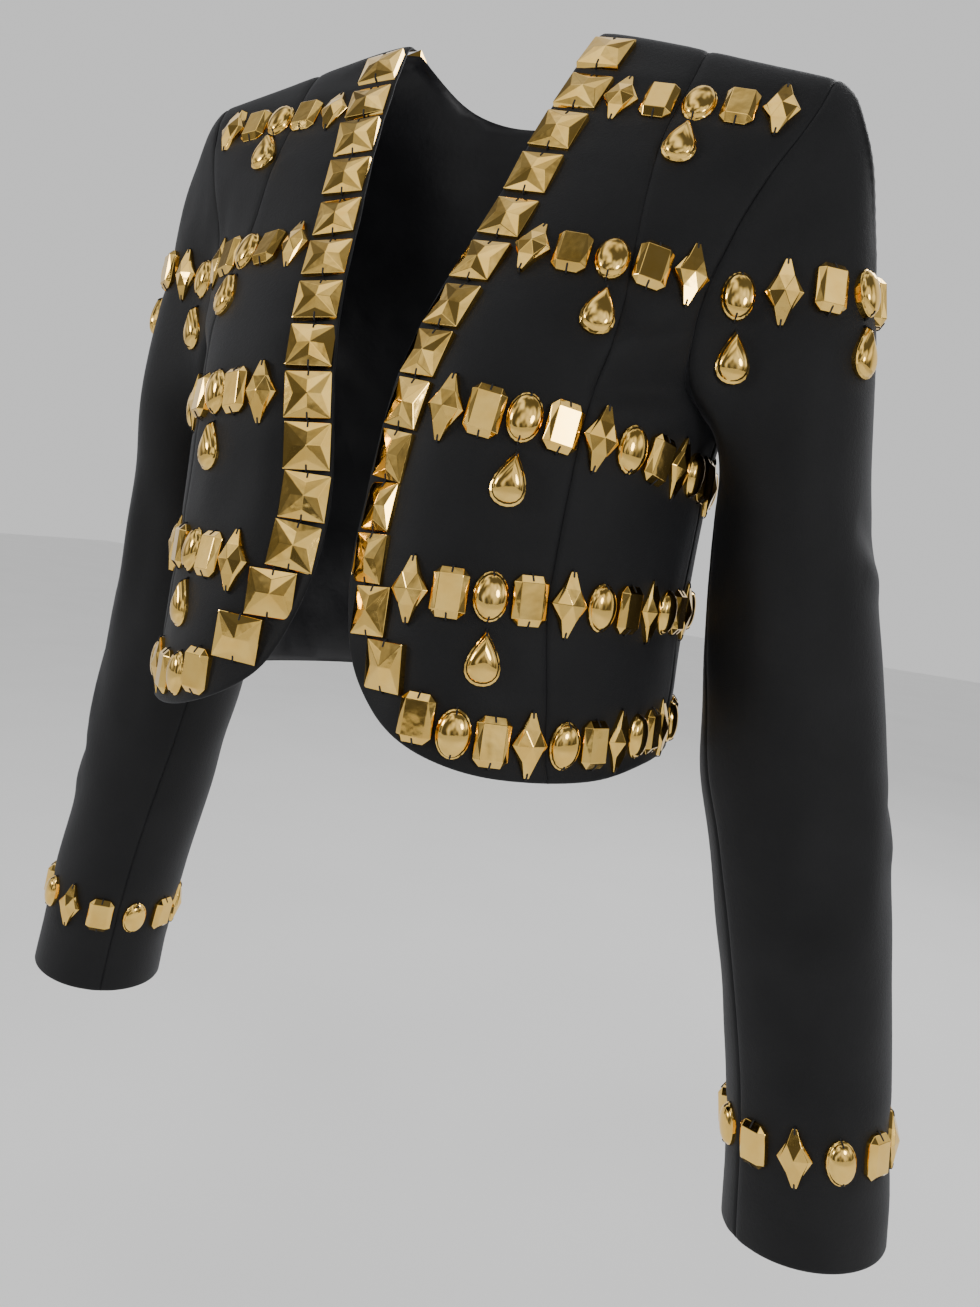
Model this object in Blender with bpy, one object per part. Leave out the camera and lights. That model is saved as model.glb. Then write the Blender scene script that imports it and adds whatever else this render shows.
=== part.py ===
"""Cropped evening jacket of black cloth, open in front, with rows of large metal stones.

The jacket keeps the shape that it has on a standing figure with the arms hanging.
+X is the wearer's left, -Y the front and +Z up. The origin is the middle of the
shoulder line, where the wearer holds the jacket up.
"""
import math

import bpy
import numpy as np
from mathutils.geometry import delaunay_2d_cdt

CM = 0.01
WALL = 0.0025            # cloth, interlining and lining together
SEAM_GAP = 0.0003        # left open between two panels along a seam
ROW_PITCH = 0.0198       # from stone to stone where the long rows cross the back
BACK_PITCH = 0.0206      # and at least along the short rows of the upper back
ROW_LEAN = 0.14          # slope of the stones in the upper rows, bottoms towards the front edge
SEAM_ROOM = 0.0010       # more room between two stones where a seam passes
EDGE_MARGIN = 0.0140     # from the neck's edge to the middle of a square
NAPE_SQUARES = 3         # on each side of the back of the neck
NAPE_START = 0.0150      # from the shoulder seam to the middle of the first of them
ACROSS = 0.235           # length of a quarter of the torso, for even triangles
AROUND = 0.33            # length round a sleeve, for even triangles
MAX_MITRE = 2.4
HEAD_REACH = 0.034       # how far the sleeve head stands out before it turns down

NECK_X = 0.062           # where the shoulder seam meets the neckline
RIDGE_Z = 0.004          # height of the shoulder seam there
NAPE_SHIFT = 0.030       # how far the back of the neck lies behind the shoulder line
NAPE_FADE = 0.13
TIP_FORWARD = 0.03       # how fast the shoulder seam comes forward towards its tip
TIP_FADE = 0.12
ROLL_WIDTH = 0.026       # width of the front edge's inward roll

# Levels of the torso in centimetres, from the shoulder ridge to below the hem.
TORSO_COLUMNS = ("down", "drop", "half_width", "middle_y", "front", "back", "power", "slope", "roll")
TORSO_LEVELS = (
    (0.0, 0.00, 20.4, 0.6, 0.00, 0.00, 6.0, 0.27, 0.0),
    (1.0, 0.18, 20.4, 0.6, 0.62, 0.95, 6.0, 0.27, 0.0),
    (2.0, 0.68, 20.4, 0.6, 1.20, 1.85, 6.0, 0.27, 0.0),
    (4.0, 2.10, 20.3, 0.6, 2.25, 3.25, 5.6, 0.265, 0.0),
    (7.0, 4.60, 19.8, 0.6, 3.85, 4.85, 4.4, 0.25, 0.1),
    (11.5, 8.60, 19.2, 0.6, 6.15, 6.90, 2.9, 0.17, 0.2),
    (16.5, 13.20, 18.3, 0.6, 8.75, 8.80, 2.2, 0.08, 0.5),
    (21.0, 17.30, 17.3, 0.5, 11.20, 10.10, 2.15, 0.03, 1.0),
    (26.0, 22.10, 16.05, 0.5, 13.15, 10.90, 2.3, 0.00, 1.5),
    (31.0, 27.10, 15.7, 0.5, 13.65, 10.80, 2.35, 0.00, 1.8),
    (37.0, 33.10, 15.55, 0.5, 14.50, 10.90, 2.35, 0.00, 1.7),
    (43.5, 39.60, 15.6, 0.5, 15.20, 11.20, 2.35, 0.00, 1.1),
    (47.5, 43.60, 15.8, 0.5, 15.50, 11.40, 2.35, 0.00, 0.8),
)

# Outlines on the torso in centimetres: each point's distance from the middle and height.
FRONT_EDGE = (
    (6.2, 0.4), (5.84, -1.6), (5.3, -4.9), (4.36, -9.9), (3.25, -15.0), (2.14, -20.1), (1.34, -25.0),
    (1.0, -28.5), (1.06, -31.5), (1.68, -34.4), (2.85, -37.0), (4.75, -38.8), (7.2, -39.95), (9.8, -40.6),
    (12.6, -40.8),
)
FRONT_HEM = ((12.6, -40.8), (13.5, -40.8), (14.3, -40.75), (15.1, -40.55), (15.8, -40.15))
# The middles of the squares down the front edge, from the shoulder to the hem.
FRONT_SQUARES = (
    (7.2, -1.6), (6.8, -4.3), (6.3, -7.0), (5.8, -9.7), (5.25, -12.4), (4.65, -15.05), (4.05, -17.65),
    (3.5, -20.25), (3.05, -22.85), (2.65, -25.5), (2.35, -28.15), (2.4, -30.8), (3.1, -33.4),
    (4.5, -35.95),
)
BACK_HEM = ((0.0, -39.5), (6.0, -39.55), (11.0, -39.8), (14.2, -40.05), (15.8, -40.15))
PRINCESS_TOP = (12.6, -1.4)
ARMHOLE_FRONT = (
    (19.7, -3.3), (19.0, -5.5), (17.7, -8.4), (16.3, -12.0), (15.5, -15.4), (15.3, -18.2), (15.6, -20.3),
    (16.4, -21.7),
)
ARMHOLE_BACK = (
    (19.7, -3.3), (19.1, -5.5), (18.1, -8.4), (16.95, -12.0), (16.2, -15.4), (15.8, -18.2), (15.85, -20.3),
    (16.4, -21.7),
)
UNDER_ARM_TURN = 1.02    # the lowest point of the armhole lies a little behind the side
BACK_NECK = ((0.0, -2.0), (2.5, -1.8), (4.8, -1.0), (6.2, 0.4))

# Rings of a sleeve in centimetres, from the upper arm to the cuff: the middle's x, y and z,
# then half width and half depth.
SLEEVE_RINGS = (
    (20.8, 2.5, -25.4, 4.2, 5.6),
    (21.35, 3.2, -30.0, 4.6, 5.35),
    (22.1, 3.8, -35.0, 4.95, 5.1),
    (23.15, 4.3, -40.5, 5.1, 4.95),
    (24.4, 4.7, -46.5, 5.0, 4.85),
    (25.65, 4.8, -52.5, 4.8, 4.8),
    (26.8, 4.6, -58.5, 4.65, 4.75),
    (28.0, 4.2, -67.3, 4.65, 4.75),
)

# Broad soft folds of a sleeve: place round it, place down it, spread round and down, height.
SLEEVE_FOLDS = (
    (0.30, -0.02, 0.10, 0.022, -0.0018),
    (0.14, 0.00, 0.16, 0.030, -0.0020),
    (0.45, 0.15, 0.12, 0.030, 0.0020),
    (0.70, 0.17, 0.12, 0.028, 0.0024),
    (0.72, 0.22, 0.14, 0.022, -0.0022),
    (0.20, 0.24, 0.15, 0.030, 0.0015),
)

# Where the sleeve's two seams start and end, as shares of the way round it.
FRONT_SEAM_TOP = 0.445
FRONT_SEAM_CUFF = 0.380
BACK_SEAM_TOP = 0.655
BACK_SEAM_CUFF = 0.7133
SLEEVE_ROW_TOP = -0.138  # height of the row round the upper arm, at the outside
SLEEVE_ROW_DROP = 0.012  # and how much lower it is in front and behind
CUFF_STONES = 12
CUFF_ROW_UP = 0.063      # from the cuff's edge to the middle of its row

# Stones: half width, half height, height of the girdle and of the crown, all in metres.
STONE_SIZES = {
    "square": (0.0125, 0.0125, 0.0018, 0.0050),
    "emerald": (0.0090, 0.0127, 0.0018, 0.0048),
    "oval": (0.0090, 0.0127, 0.0020, 0.0056),
    "lozenge": (0.0098, 0.0168, 0.0018, 0.0054),
    "drop": (0.0090, 0.0138, 0.0020, 0.0056),
}
LETTERS = {"S": "square", "E": "emerald", "O": "oval", "L": "lozenge", "D": "drop"}
ROW_PATTERN = "OEL"
DROP_BELOW = 0.0302      # from an oval's middle to the middle of the drop under it


def natural_spline(knots, values, at):
    """Smooth curve through values at the knots, straight beyond both ends."""
    knots = np.asarray(knots, float)
    values = np.asarray(values, float)
    at = np.asarray(at, float)
    step = np.diff(knots)
    slope = np.diff(values, axis=0) / step.reshape((-1,) + (1,) * (values.ndim - 1))
    count = len(knots)
    matrix = np.eye(count)
    right = np.zeros_like(values)
    for row in range(1, count - 1):
        matrix[row, row - 1:row + 2] = step[row - 1], 2 * (step[row - 1] + step[row]), step[row]
        right[row] = 6 * (slope[row] - slope[row - 1])
    bend = np.linalg.solve(matrix, right.reshape(count, -1)).reshape(values.shape)
    inside = np.clip(at, knots[0], knots[-1])
    place = np.clip(np.searchsorted(knots, inside, side="right") - 1, 0, count - 2)
    extra = (1,) * (values.ndim - 1)
    width = step[place].reshape(at.shape + extra)
    ahead = (inside - knots[place]).reshape(at.shape + extra)
    behind = width - ahead
    curve = (bend[place] * behind ** 3 + bend[place + 1] * ahead ** 3) / (6 * width)
    curve += (values[place] / width - bend[place] * width / 6) * behind
    curve += (values[place + 1] / width - bend[place + 1] * width / 6) * ahead
    start = slope[0] - bend[1] * step[0] / 6
    end = slope[-1] + bend[-2] * step[-1] / 6
    before = np.minimum(at - knots[0], 0).reshape(at.shape + extra)
    after = np.maximum(at - knots[-1], 0).reshape(at.shape + extra)
    return curve + start * before + end * after


def unit(vectors):
    return vectors / np.linalg.norm(vectors, axis=-1, keepdims=True)


TORSO = {name: np.array(column) for name, column in zip(TORSO_COLUMNS, zip(*TORSO_LEVELS))}
for measure in TORSO_COLUMNS:
    if measure not in ("power", "slope"):
        TORSO[measure] = TORSO[measure] * CM


def level(name, down):
    return natural_spline(TORSO["down"], TORSO[name], down)


def edge_x(z):
    edge = np.array(FRONT_EDGE[:11]) * CM
    return np.interp(-z, -edge[:, 1], edge[:, 0])


def torso_point(turn, down):
    """Middle of the cloth. turn is 0 at the middle of the front, 1 at the side, 2 at the
    middle of the back and on to 4; down is the way down the cloth from the shoulder."""
    turn = np.asarray(turn, float)
    down = np.asarray(down, float)
    turn = np.where(down < 0, 2 - turn, turn)
    down = np.abs(down)
    angle = turn * math.pi / 2
    sine, cosine = np.sin(angle), np.cos(angle)
    power = level("power", down)
    size = (np.abs(sine) ** power + np.abs(cosine) ** power) ** (1 / power)
    x = level("half_width", down) * sine / size
    in_front = cosine > 0
    depth = np.where(in_front, level("front", down), level("back", down))
    y = level("middle_y", down) - depth * cosine / size
    outside = np.sqrt(np.maximum(np.abs(x) - NECK_X, 0) ** 2 + 0.012 ** 2) - 0.012
    z = RIDGE_Z - level("drop", down) - level("slope", down) * outside
    y = y - TIP_FORWARD * outside * np.exp(-(down / TIP_FADE) ** 2)
    roll = level("roll", down) * np.exp(-((np.abs(x) - edge_x(z)) / ROLL_WIDTH) ** 2)
    y = y + np.where(in_front, roll, 0)
    nape = NAPE_SHIFT * np.maximum(1 - (x / 0.085) ** 2, 0) ** 2
    nape = nape * np.exp(-(down / NAPE_FADE) ** 2)
    y = y + np.where(in_front, 0, nape)
    return np.stack([x, y, z], axis=-1)


def torso_place(x, z, back=False):
    """Turn and down of the torso's point at this distance from the middle and height."""
    x = np.atleast_1d(np.asarray(x, float))
    z = np.atleast_1d(np.asarray(z, float))
    turns = np.linspace(2, 1, 161) if back else np.linspace(0, 1, 161)
    downs = np.linspace(0, TORSO["down"][-1], 481)
    down = np.interp(RIDGE_Z - z, level("drop", downs), downs)
    turn = np.ones_like(x)
    for _ in range(14):
        rows = torso_point(turns[None, :], np.repeat(down[:, None], len(turns), axis=1))[..., 0]
        turn = np.array([np.interp(place, row, turns) for place, row in zip(x, rows)])
        down = np.maximum(down + torso_point(turn, down)[:, 2] - z, 0)
    return np.stack([turn, down], axis=-1)


def pattern_slopes(surface, flat):
    """Change of the surface point along both directions of the pattern, as two columns."""
    step = 0.0015
    columns = []
    for way in ([step, 0.0], [0.0, step]):
        change = surface.point(flat[None] + way)[0] - surface.point(flat[None] - way)[0]
        columns.append(change / (2 * step))
    return np.stack(columns, axis=1)


def surface_normal(point, first, second, step_first, step_second):
    along = point(first + step_first, second) - point(first - step_first, second)
    across = point(first, second + step_second) - point(first, second - step_second)
    return unit(np.cross(along, across))


class Torso:
    """The torso's cloth over a flat pattern of (turn * ACROSS, down)."""

    def point(self, flat):
        return torso_point(flat[..., 0] / ACROSS, flat[..., 1])

    def normal(self, flat):
        return -surface_normal(torso_point, flat[..., 0] / ACROSS, flat[..., 1], 0.004, 0.001)


def armhole_flat(around):
    """Places of the armhole on the torso's pattern; around runs from the shoulder tip down
    the front to 0.5 under the arm and up the back to 1."""
    around = np.atleast_1d(np.asarray(around, float))
    around = np.where((around < 0) | (around > 1), around % 1.0, around)
    flat = np.zeros((len(around), 2))
    for back, line in ((False, FRONT_CURVE), (True, BACK_CURVE)):
        chosen = around > 0.5 if back else around <= 0.5
        share = (1 - around[chosen]) * 2 if back else around[chosen] * 2
        flat[chosen] = natural_spline(np.linspace(0, 1, len(line)), line, share)
    return flat * np.array([ACROSS, 1.0])


def even_curve(points, back):
    """A curve given by x and z, as places on the torso's pattern at even steps."""
    points = np.array(points) * CM
    length = np.concatenate([[0], np.cumsum(np.linalg.norm(np.diff(points, axis=0), axis=1))])
    fine = natural_spline(length, points, np.linspace(0, length[-1], 90))
    places = torso_place(fine[:, 0], fine[:, 1], back)
    places[-1, 0] = UNDER_ARM_TURN
    steps = np.linalg.norm(np.diff(places * [ACROSS, 1], axis=0), axis=1)
    run = np.concatenate([[0], np.cumsum(steps)])
    even = np.linspace(0, run[-1], 25)
    return np.stack([np.interp(even, run, places[:, 0]), np.interp(even, run, places[:, 1])], axis=-1)


FRONT_CURVE = even_curve(ARMHOLE_FRONT, False)
BACK_CURVE = even_curve(ARMHOLE_BACK, True)
UNDER_ARM = (FRONT_CURVE[-1] + BACK_CURVE[-1]) / 2
SHOULDER_TIP = (FRONT_CURVE[0] * [1, 0] + BACK_CURVE[0] * [-1, 0] + [2, 0]) / 2
FRONT_CURVE += (UNDER_ARM - FRONT_CURVE[-1]) * np.linspace(0, 1, 25)[:, None] ** 4
BACK_CURVE += (UNDER_ARM - BACK_CURVE[-1]) * np.linspace(0, 1, 25)[:, None] ** 4
FRONT_CURVE += (SHOULDER_TIP - FRONT_CURVE[0]) * np.linspace(1, 0, 25)[:, None] ** 4
BACK_CURVE += (SHOULDER_TIP * [-1, 1] + [2, 0] - BACK_CURVE[0]) * np.linspace(1, 0, 25)[:, None] ** 4

RINGS = np.array(SLEEVE_RINGS) * CM
RING_AT = np.concatenate([[0], np.cumsum(np.linalg.norm(np.diff(RINGS[:, :3], axis=0), axis=1))])
ARM_LENGTH = RING_AT[-1]


def arm_point(around, along):
    """Cloth of the sleeve below the armhole, along from 0 at the upper arm to the cuff."""
    ring = natural_spline(RING_AT, RINGS, along)
    ahead = unit(natural_spline(RING_AT, RINGS[:, :3], along + 0.002)
                 - natural_spline(RING_AT, RINGS[:, :3], along - 0.002))
    forward = np.zeros_like(ahead)
    forward[..., 1] = -1.0
    forward = unit(forward - ahead * np.sum(forward * ahead, axis=-1, keepdims=True))
    outward = np.cross(forward, ahead)
    angle = around * 2 * math.pi
    across = (ring[..., 3] * np.cos(angle))[..., None] * outward
    return ring[..., :3] + across + (ring[..., 4] * np.sin(angle))[..., None] * forward


def sleeve_fold(around, along):
    height = np.zeros(np.broadcast(around, along).shape)
    for place, down, spread, reach, size in SLEEVE_FOLDS:
        apart = (around - place + 0.5) % 1.0 - 0.5
        height += size * np.exp(-(apart / spread) ** 2 - ((along - down) / reach) ** 2)
    return height


def armhole_frame(around):
    """Armhole points with the torso's normal and the way on from the torso's cloth."""
    torso = Torso()
    flat = armhole_flat(around)
    point = torso.point(flat)
    normal = torso.normal(flat)
    along = unit(torso.point(armhole_flat(np.asarray(around) + 0.002))
                 - torso.point(armhole_flat(np.asarray(around) - 0.002)))
    return point, normal, unit(np.cross(normal, along))


def cap_length(around):
    around = np.atleast_1d(np.asarray(around, float))
    start = Torso().point(armhole_flat(around))
    return np.linalg.norm(arm_point(around, np.zeros_like(around)) - start, axis=-1)


def sleeve_bare(around, along):
    """Sleeve cloth without its folds; along is negative on the cap, above the upper arm."""
    shape = np.broadcast(around, along).shape
    around = np.broadcast_to(np.asarray(around, float), shape).ravel()
    along = np.broadcast_to(np.asarray(along, float), shape).ravel()
    result = arm_point(around, np.maximum(along, 0))
    cap = along < 0
    if cap.any():
        side, run = around[cap], along[cap]
        start, _, away = armhole_frame(side)
        end = arm_point(side, np.zeros_like(side))
        length = cap_length(side)
        heading = unit(arm_point(side, np.full_like(side, 0.004)) - end)
        over = (0.5 + 0.5 * np.cos(side * 2 * math.pi)) ** 0.6
        droop = unit(np.array([1.0, 0.0, -1.0]))
        leave = unit(away * over[:, None] + droop * (1 - over)[:, None])
        reach = np.minimum(length * 0.30, HEAD_REACH)[:, None]
        first = start + leave * reach
        second = end - heading * length[:, None] * 0.36
        t = np.clip(1 + run / length, 0, None)[:, None]
        result[cap] = ((1 - t) ** 3 * start + 3 * t * (1 - t) ** 2 * first
                       + 3 * t ** 2 * (1 - t) * second + t ** 3 * end)
    return result.reshape(shape + (3,))


def sleeve_point(around, along):
    around = np.asarray(around, float)
    along = np.asarray(along, float)
    bare = sleeve_bare(around, along)
    normal = surface_normal(sleeve_bare, around, along, 0.003, 0.001)
    length = cap_length(around.ravel()).reshape(around.shape)
    fade = np.clip((along + length) / 0.03, 0, 1) ** 2 * np.clip((ARM_LENGTH - along) / 0.05, 0, 1)
    return bare + normal * (sleeve_fold(around, along) * fade)[..., None]


class Sleeve:
    """The sleeve's cloth over a flat pattern of (around * AROUND, along)."""

    def point(self, flat):
        return sleeve_point(flat[..., 0] / AROUND, flat[..., 1])

    def normal(self, flat):
        around = flat[..., 0] / AROUND
        first = np.maximum(flat[..., 1], 0.0012 - cap_length(around.ravel()).reshape(around.shape))
        return surface_normal(sleeve_bare, around, first, 0.003, 0.001)


def arc_curve(surface, flats):
    points = surface.point(flats)
    return np.concatenate([[0], np.cumsum(np.linalg.norm(np.diff(points, axis=0), axis=1))])


def on_curve(surface, flats, distances):
    """Places at these distances along a curve on the pattern, with the curve's heading."""
    run = arc_curve(surface, flats)
    places = np.stack([np.interp(distances, run, flats[:, k]) for k in (0, 1)], axis=-1)
    distances = np.asarray(distances)
    ahead = np.stack([np.interp(distances + 0.002, run, flats[:, k]) for k in (0, 1)], axis=-1)
    behind = np.stack([np.interp(distances - 0.002, run, flats[:, k]) for k in (0, 1)], axis=-1)
    return places, surface.point(ahead) - surface.point(behind)


def stone_rings(kind):
    """Outline rings of a stone from the base up, as (points, height), then its top point."""
    half_x, half_y, girdle, crown = STONE_SIZES[kind]
    if kind in ("square", "lozenge"):
        corners = np.array([(-1, -1), (1, -1), (1, 1), (-1, 1)], float)
        if kind == "lozenge":
            corners = np.array([(0, -1), (1, 0), (0, 1), (-1, 0)], float)
        base = corners * (half_x, half_y)
        return [(base, 0.0), (base * 0.95, girdle)], crown
    if kind == "emerald":
        cut = 0.0042
        base = np.array([
            (half_x - cut, -half_y), (half_x, cut - half_y),
            (half_x, half_y - cut), (half_x - cut, half_y),
            (cut - half_x, half_y), (-half_x, half_y - cut),
            (-half_x, cut - half_y), (cut - half_x, -half_y),
        ])
        return [(base, 0.0), (base * (0.62, 0.70), crown)], None
    angles = np.arange(8) * math.pi / 4
    base = np.stack([np.cos(angles) * half_x, np.sin(angles) * half_y], axis=-1)
    if kind == "drop":
        base[1] *= (0.68, 0.68)
        base[3] *= (0.68, 0.68)
    return [(base, 0.0), (base * 0.80, 0.0035)], crown


def inset(flats, amounts):
    """The closed outline moved inward; counterclockwise outlines only."""
    ahead = unit(np.roll(flats, -1, axis=0) - flats)
    behind = np.roll(ahead, 1, axis=0)
    left_ahead = np.stack([-ahead[:, 1], ahead[:, 0]], axis=-1)
    left_behind = np.stack([-behind[:, 1], behind[:, 0]], axis=-1)
    middle = unit(left_ahead + left_behind)
    widen = 1 / np.maximum(np.sum(middle * left_ahead, axis=-1), 0.5)
    return flats + middle * (widen * amounts)[:, None]


def inside_outline(points, outline):
    """True for the points inside a closed outline."""
    inside = np.zeros(len(points), bool)
    for start, end in zip(outline, np.roll(outline, -1, axis=0)):
        crosses = (start[1] > points[:, 1]) != (end[1] > points[:, 1])
        rise = end[1] - start[1] if end[1] != start[1] else 1e-12
        x = start[0] + (points[:, 1] - start[1]) * (end[0] - start[0]) / rise
        inside ^= crosses & (points[:, 0] < x)
    return inside


def distance_to_outline(points, outline):
    nearest = np.full(len(points), np.inf)
    for start, end in zip(outline, np.roll(outline, -1, axis=0)):
        along = end - start
        share = np.clip(((points - start) @ along) / (along @ along), 0, 1)
        nearest = np.minimum(nearest, np.linalg.norm(points - start - share[:, None] * along, axis=1))
    return nearest


def fill_points(outline, keep_out, spacing):
    """Staggered points inside the outline, clear of it and of the stones."""
    low, high = outline.min(axis=0), outline.max(axis=0)
    rows = np.arange(low[1] + spacing * 0.5, high[1], spacing)
    points = []
    for index, height in enumerate(rows):
        shift = spacing * (0.25 if index % 2 else 0.75)
        points += [(x, height) for x in np.arange(low[0] + shift, high[0], spacing)]
    points = np.array(points)
    points = points[inside_outline(points, outline)]
    points = points[distance_to_outline(points, outline) > spacing * 0.5]
    for ring in keep_out:
        if len(points):
            points = points[~inside_outline(points, ring)]
        if len(points):
            points = points[distance_to_outline(points, ring) > spacing * 0.30]
    return points


def triangulate(outline, rings, inner_points):
    """Triangles over the flat pattern whose edges follow the outline and every ring."""
    flats = [outline] + rings + ([inner_points] if len(inner_points) else [])
    points = np.concatenate(flats)
    edges = []
    start = 0
    for loop in [outline] + rings:
        count = len(loop)
        edges += [(start + k, start + (k + 1) % count) for k in range(count)]
        start += count
    places = [tuple(place) for place in points.tolist()]
    result = delaunay_2d_cdt(places, edges, [list(range(len(outline)))], 1, 1e-7)
    out_points, _, faces, original, _, _ = result
    if len(out_points) != len(points):
        raise ValueError("outlines cross: %d points became %d" % (len(points), len(out_points)))
    source = [numbers[0] for numbers in original]
    return [[source[k] for k in face] for face in faces]


def panel(name, surface, outline, offsets, stones, spacing, mirrored, material, folder):
    """A closed cloth wall over a pattern outline, with its stones raised on the outside."""
    rings, raised, keep_out = [], [], []
    half = WALL / 2
    for kind, flat, heading, turn in stones:
        flat = np.asarray(flat, float)
        centre, normal = surface.point(flat[None])[0], surface.normal(flat[None])[0]
        first = heading - normal * (heading @ normal)
        first = first / np.linalg.norm(first)
        second = np.cross(normal, first)
        if turn:
            first, second = (first * math.cos(turn) + second * math.sin(turn),
                             second * math.cos(turn) - first * math.sin(turn))
        to_flat = np.linalg.pinv(pattern_slopes(surface, flat))
        outlines, crown = stone_rings(kind)
        for number, (shape, height) in enumerate(outlines):
            space = shape[:, :1] * first + shape[:, 1:] * second
            flats = flat + space @ to_flat.T
            if number == 0:
                positions = surface.point(flats) + surface.normal(flats) * half
                keep_out.append(flats)
            else:
                positions = centre + space + normal * (half + height)
            rings.append(flats)
            raised.append(positions)
        if crown is not None:
            rings.append(flat[None])
            raised.append((centre + normal * (half + crown))[None])
    loops = [ring for ring in rings if len(ring) > 1]
    tops = [ring for ring in rings if len(ring) == 1]
    loop_points = [place for ring, place in zip(rings, raised) if len(ring) > 1]
    top_points = [place for ring, place in zip(rings, raised) if len(ring) == 1]
    fill_outer = fill_points(outline, keep_out, spacing)
    singles = np.concatenate(tops + [fill_outer]) if tops else fill_outer
    outer_faces = triangulate(outline, loops, singles)
    outer = [surface.point(outline) + offsets] + loop_points + top_points
    if len(fill_outer):
        outer.append(surface.point(fill_outer) + surface.normal(fill_outer) * half)
    outer = np.concatenate(outer)
    fill_inner = fill_points(outline, [], spacing)
    inner_faces = triangulate(outline, [], fill_inner)
    inner = [surface.point(outline) - offsets]
    if len(fill_inner):
        inner.append(surface.point(fill_inner) - surface.normal(fill_inner) * half)
    inner = np.concatenate(inner)
    flip = facing(surface, outline) < 0
    points = np.concatenate([outer, inner])
    first_inner = len(outer)
    faces = [face if not flip else face[::-1] for face in outer_faces]
    faces += [[first_inner + k for k in (face[::-1] if not flip else face)] for face in inner_faces]
    count = len(outline)
    # Both walls of a seam split its twisted end faces the same way, by height.
    middle_heights = surface.point(outline)[:, 2]
    for k in range(count):
        here, after = k, (k + 1) % count
        if middle_heights[here] > middle_heights[after]:
            rim = [[after, here, first_inner + here], [after, first_inner + here, first_inner + after]]
        else:
            rim = [[after, here, first_inner + after], [here, first_inner + here, first_inner + after]]
        faces += [face if not flip else face[::-1] for face in rim]
    if mirrored:
        points = points * [-1, 1, 1]
        faces = [face[::-1] for face in faces]
    mesh = bpy.data.meshes.new(name)
    mesh.from_pydata(points.tolist(), [], faces)
    mesh.materials.append(material)
    mesh.update()
    thing = bpy.data.objects.new(name, mesh)
    folder.objects.link(thing)
    return thing


def facing(surface, outline):
    """Positive where a counterclockwise triangle of the pattern faces outward."""
    middle = outline.mean(axis=0)[None]
    first = surface.point(middle + [0.001, 0])[0] - surface.point(middle)[0]
    second = surface.point(middle + [0, 0.001])[0] - surface.point(middle)[0]
    return float(np.cross(first, second) @ surface.normal(middle)[0])


def spaced(line, step):
    """Even points on a flat line, both ends included."""
    run = np.concatenate([[0], np.cumsum(np.linalg.norm(np.diff(line, axis=0), axis=1))])
    count = max(1, round(run[-1] / step))
    at = np.linspace(0, run[-1], count + 1)
    return np.stack([np.interp(at, run, line[:, k]) for k in (0, 1)], axis=-1)


def torso_line(points, back=False, samples=90):
    """A smooth outline given by x and z in centimetres, on the torso's flat pattern."""
    points = np.array(points) * CM
    run = np.concatenate([[0], np.cumsum(np.linalg.norm(np.diff(points, axis=0), axis=1))])
    fine = natural_spline(run, points, np.linspace(0, run[-1], samples))
    return torso_place(fine[:, 0], fine[:, 1], back) * [ACROSS, 1.0]


def mitre(around):
    """Offset from the middle to the outside of the cloth along the armhole seam."""
    _, torso_normal, _ = armhole_frame(around)
    around = np.atleast_1d(np.asarray(around, float))
    start = 0.002 - cap_length(around)
    sleeve_normal = surface_normal(sleeve_bare, around, start, 0.003, 0.001)
    both = torso_normal + sleeve_normal
    agree = 1 + np.sum(torso_normal * sleeve_normal, axis=-1, keepdims=True)
    slant = both / np.maximum(agree, 0.02)
    length = np.linalg.norm(slant, axis=-1, keepdims=True)
    return slant * np.minimum(1, MAX_MITRE / length) * WALL / 2, np.minimum(length[:, 0], MAX_MITRE)


def beside(surface, flat, heading, across, up):
    """The place on the pattern this far beside a place, in the frame of its row."""
    normal = surface.normal(flat[None])[0]
    first = unit(heading - normal * (heading @ normal))
    second = np.cross(normal, first)
    return flat + np.linalg.pinv(pattern_slopes(surface, flat)) @ (first * across + second * up)


def leaning(heading, lean):
    """The heading of a stone that stands upright but for this slope."""
    level = heading * [1, 1, 0]
    return level - [0, 0, lean * np.linalg.norm(level)]


def row_stones(surface, line, letters, distances, drops=(), lean=0.0):
    """Stones along a row's line, each as kind, place, heading and turn, drops included.
    They stand upright, or lean by this slope, or follow the line where lean is None."""
    flats, headings = on_curve(surface, line, distances)
    stones = []
    for number, (letter, flat, heading) in enumerate(zip(letters, flats, headings)):
        if lean is not None:
            heading = leaning(heading, lean)
        stones.append((LETTERS[letter], flat, heading, 0.0))
        if number in drops:
            below = beside(surface, flat, heading, 0.0, -DROP_BELOW)
            stones.append(("drop", below, heading, 0.0))
    return stones


def torso_row(front_heights, back_heights, start_x):
    """The two lines of a row, from the front edge to the side and on to the middle of the
    back. Heights are pairs of distance from the middle and height, in centimetres."""
    lines = []
    for back, heights in ((False, front_heights), (True, back_heights)):
        table = np.array(heights) * CM
        widest = torso_point(1.0, torso_place(0.15, table[-1, 1], back)[0, 1])[0]
        if back:
            x = widest * np.cos(np.linspace(0, math.pi / 2, 60))
        else:
            x = start_x + (widest - start_x) * np.sin(np.linspace(0, math.pi / 2, 60))
        z = natural_spline(table[:, 0], table[:, 1], x)
        places = torso_place(x, z, back)
        places[0 if back else -1, 0] = 1.0
        lines.append(places * [ACROSS, 1.0])
    return lines


def edge_centres(line, away):
    """The line at the middle of the squares beside an edge of the torso."""
    torso = Torso()
    points = torso.point(line)
    ahead = np.gradient(points, axis=0)
    return np.array([beside(torso, flat, way, 0.0, away) for flat, way in zip(line, ahead)])


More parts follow.
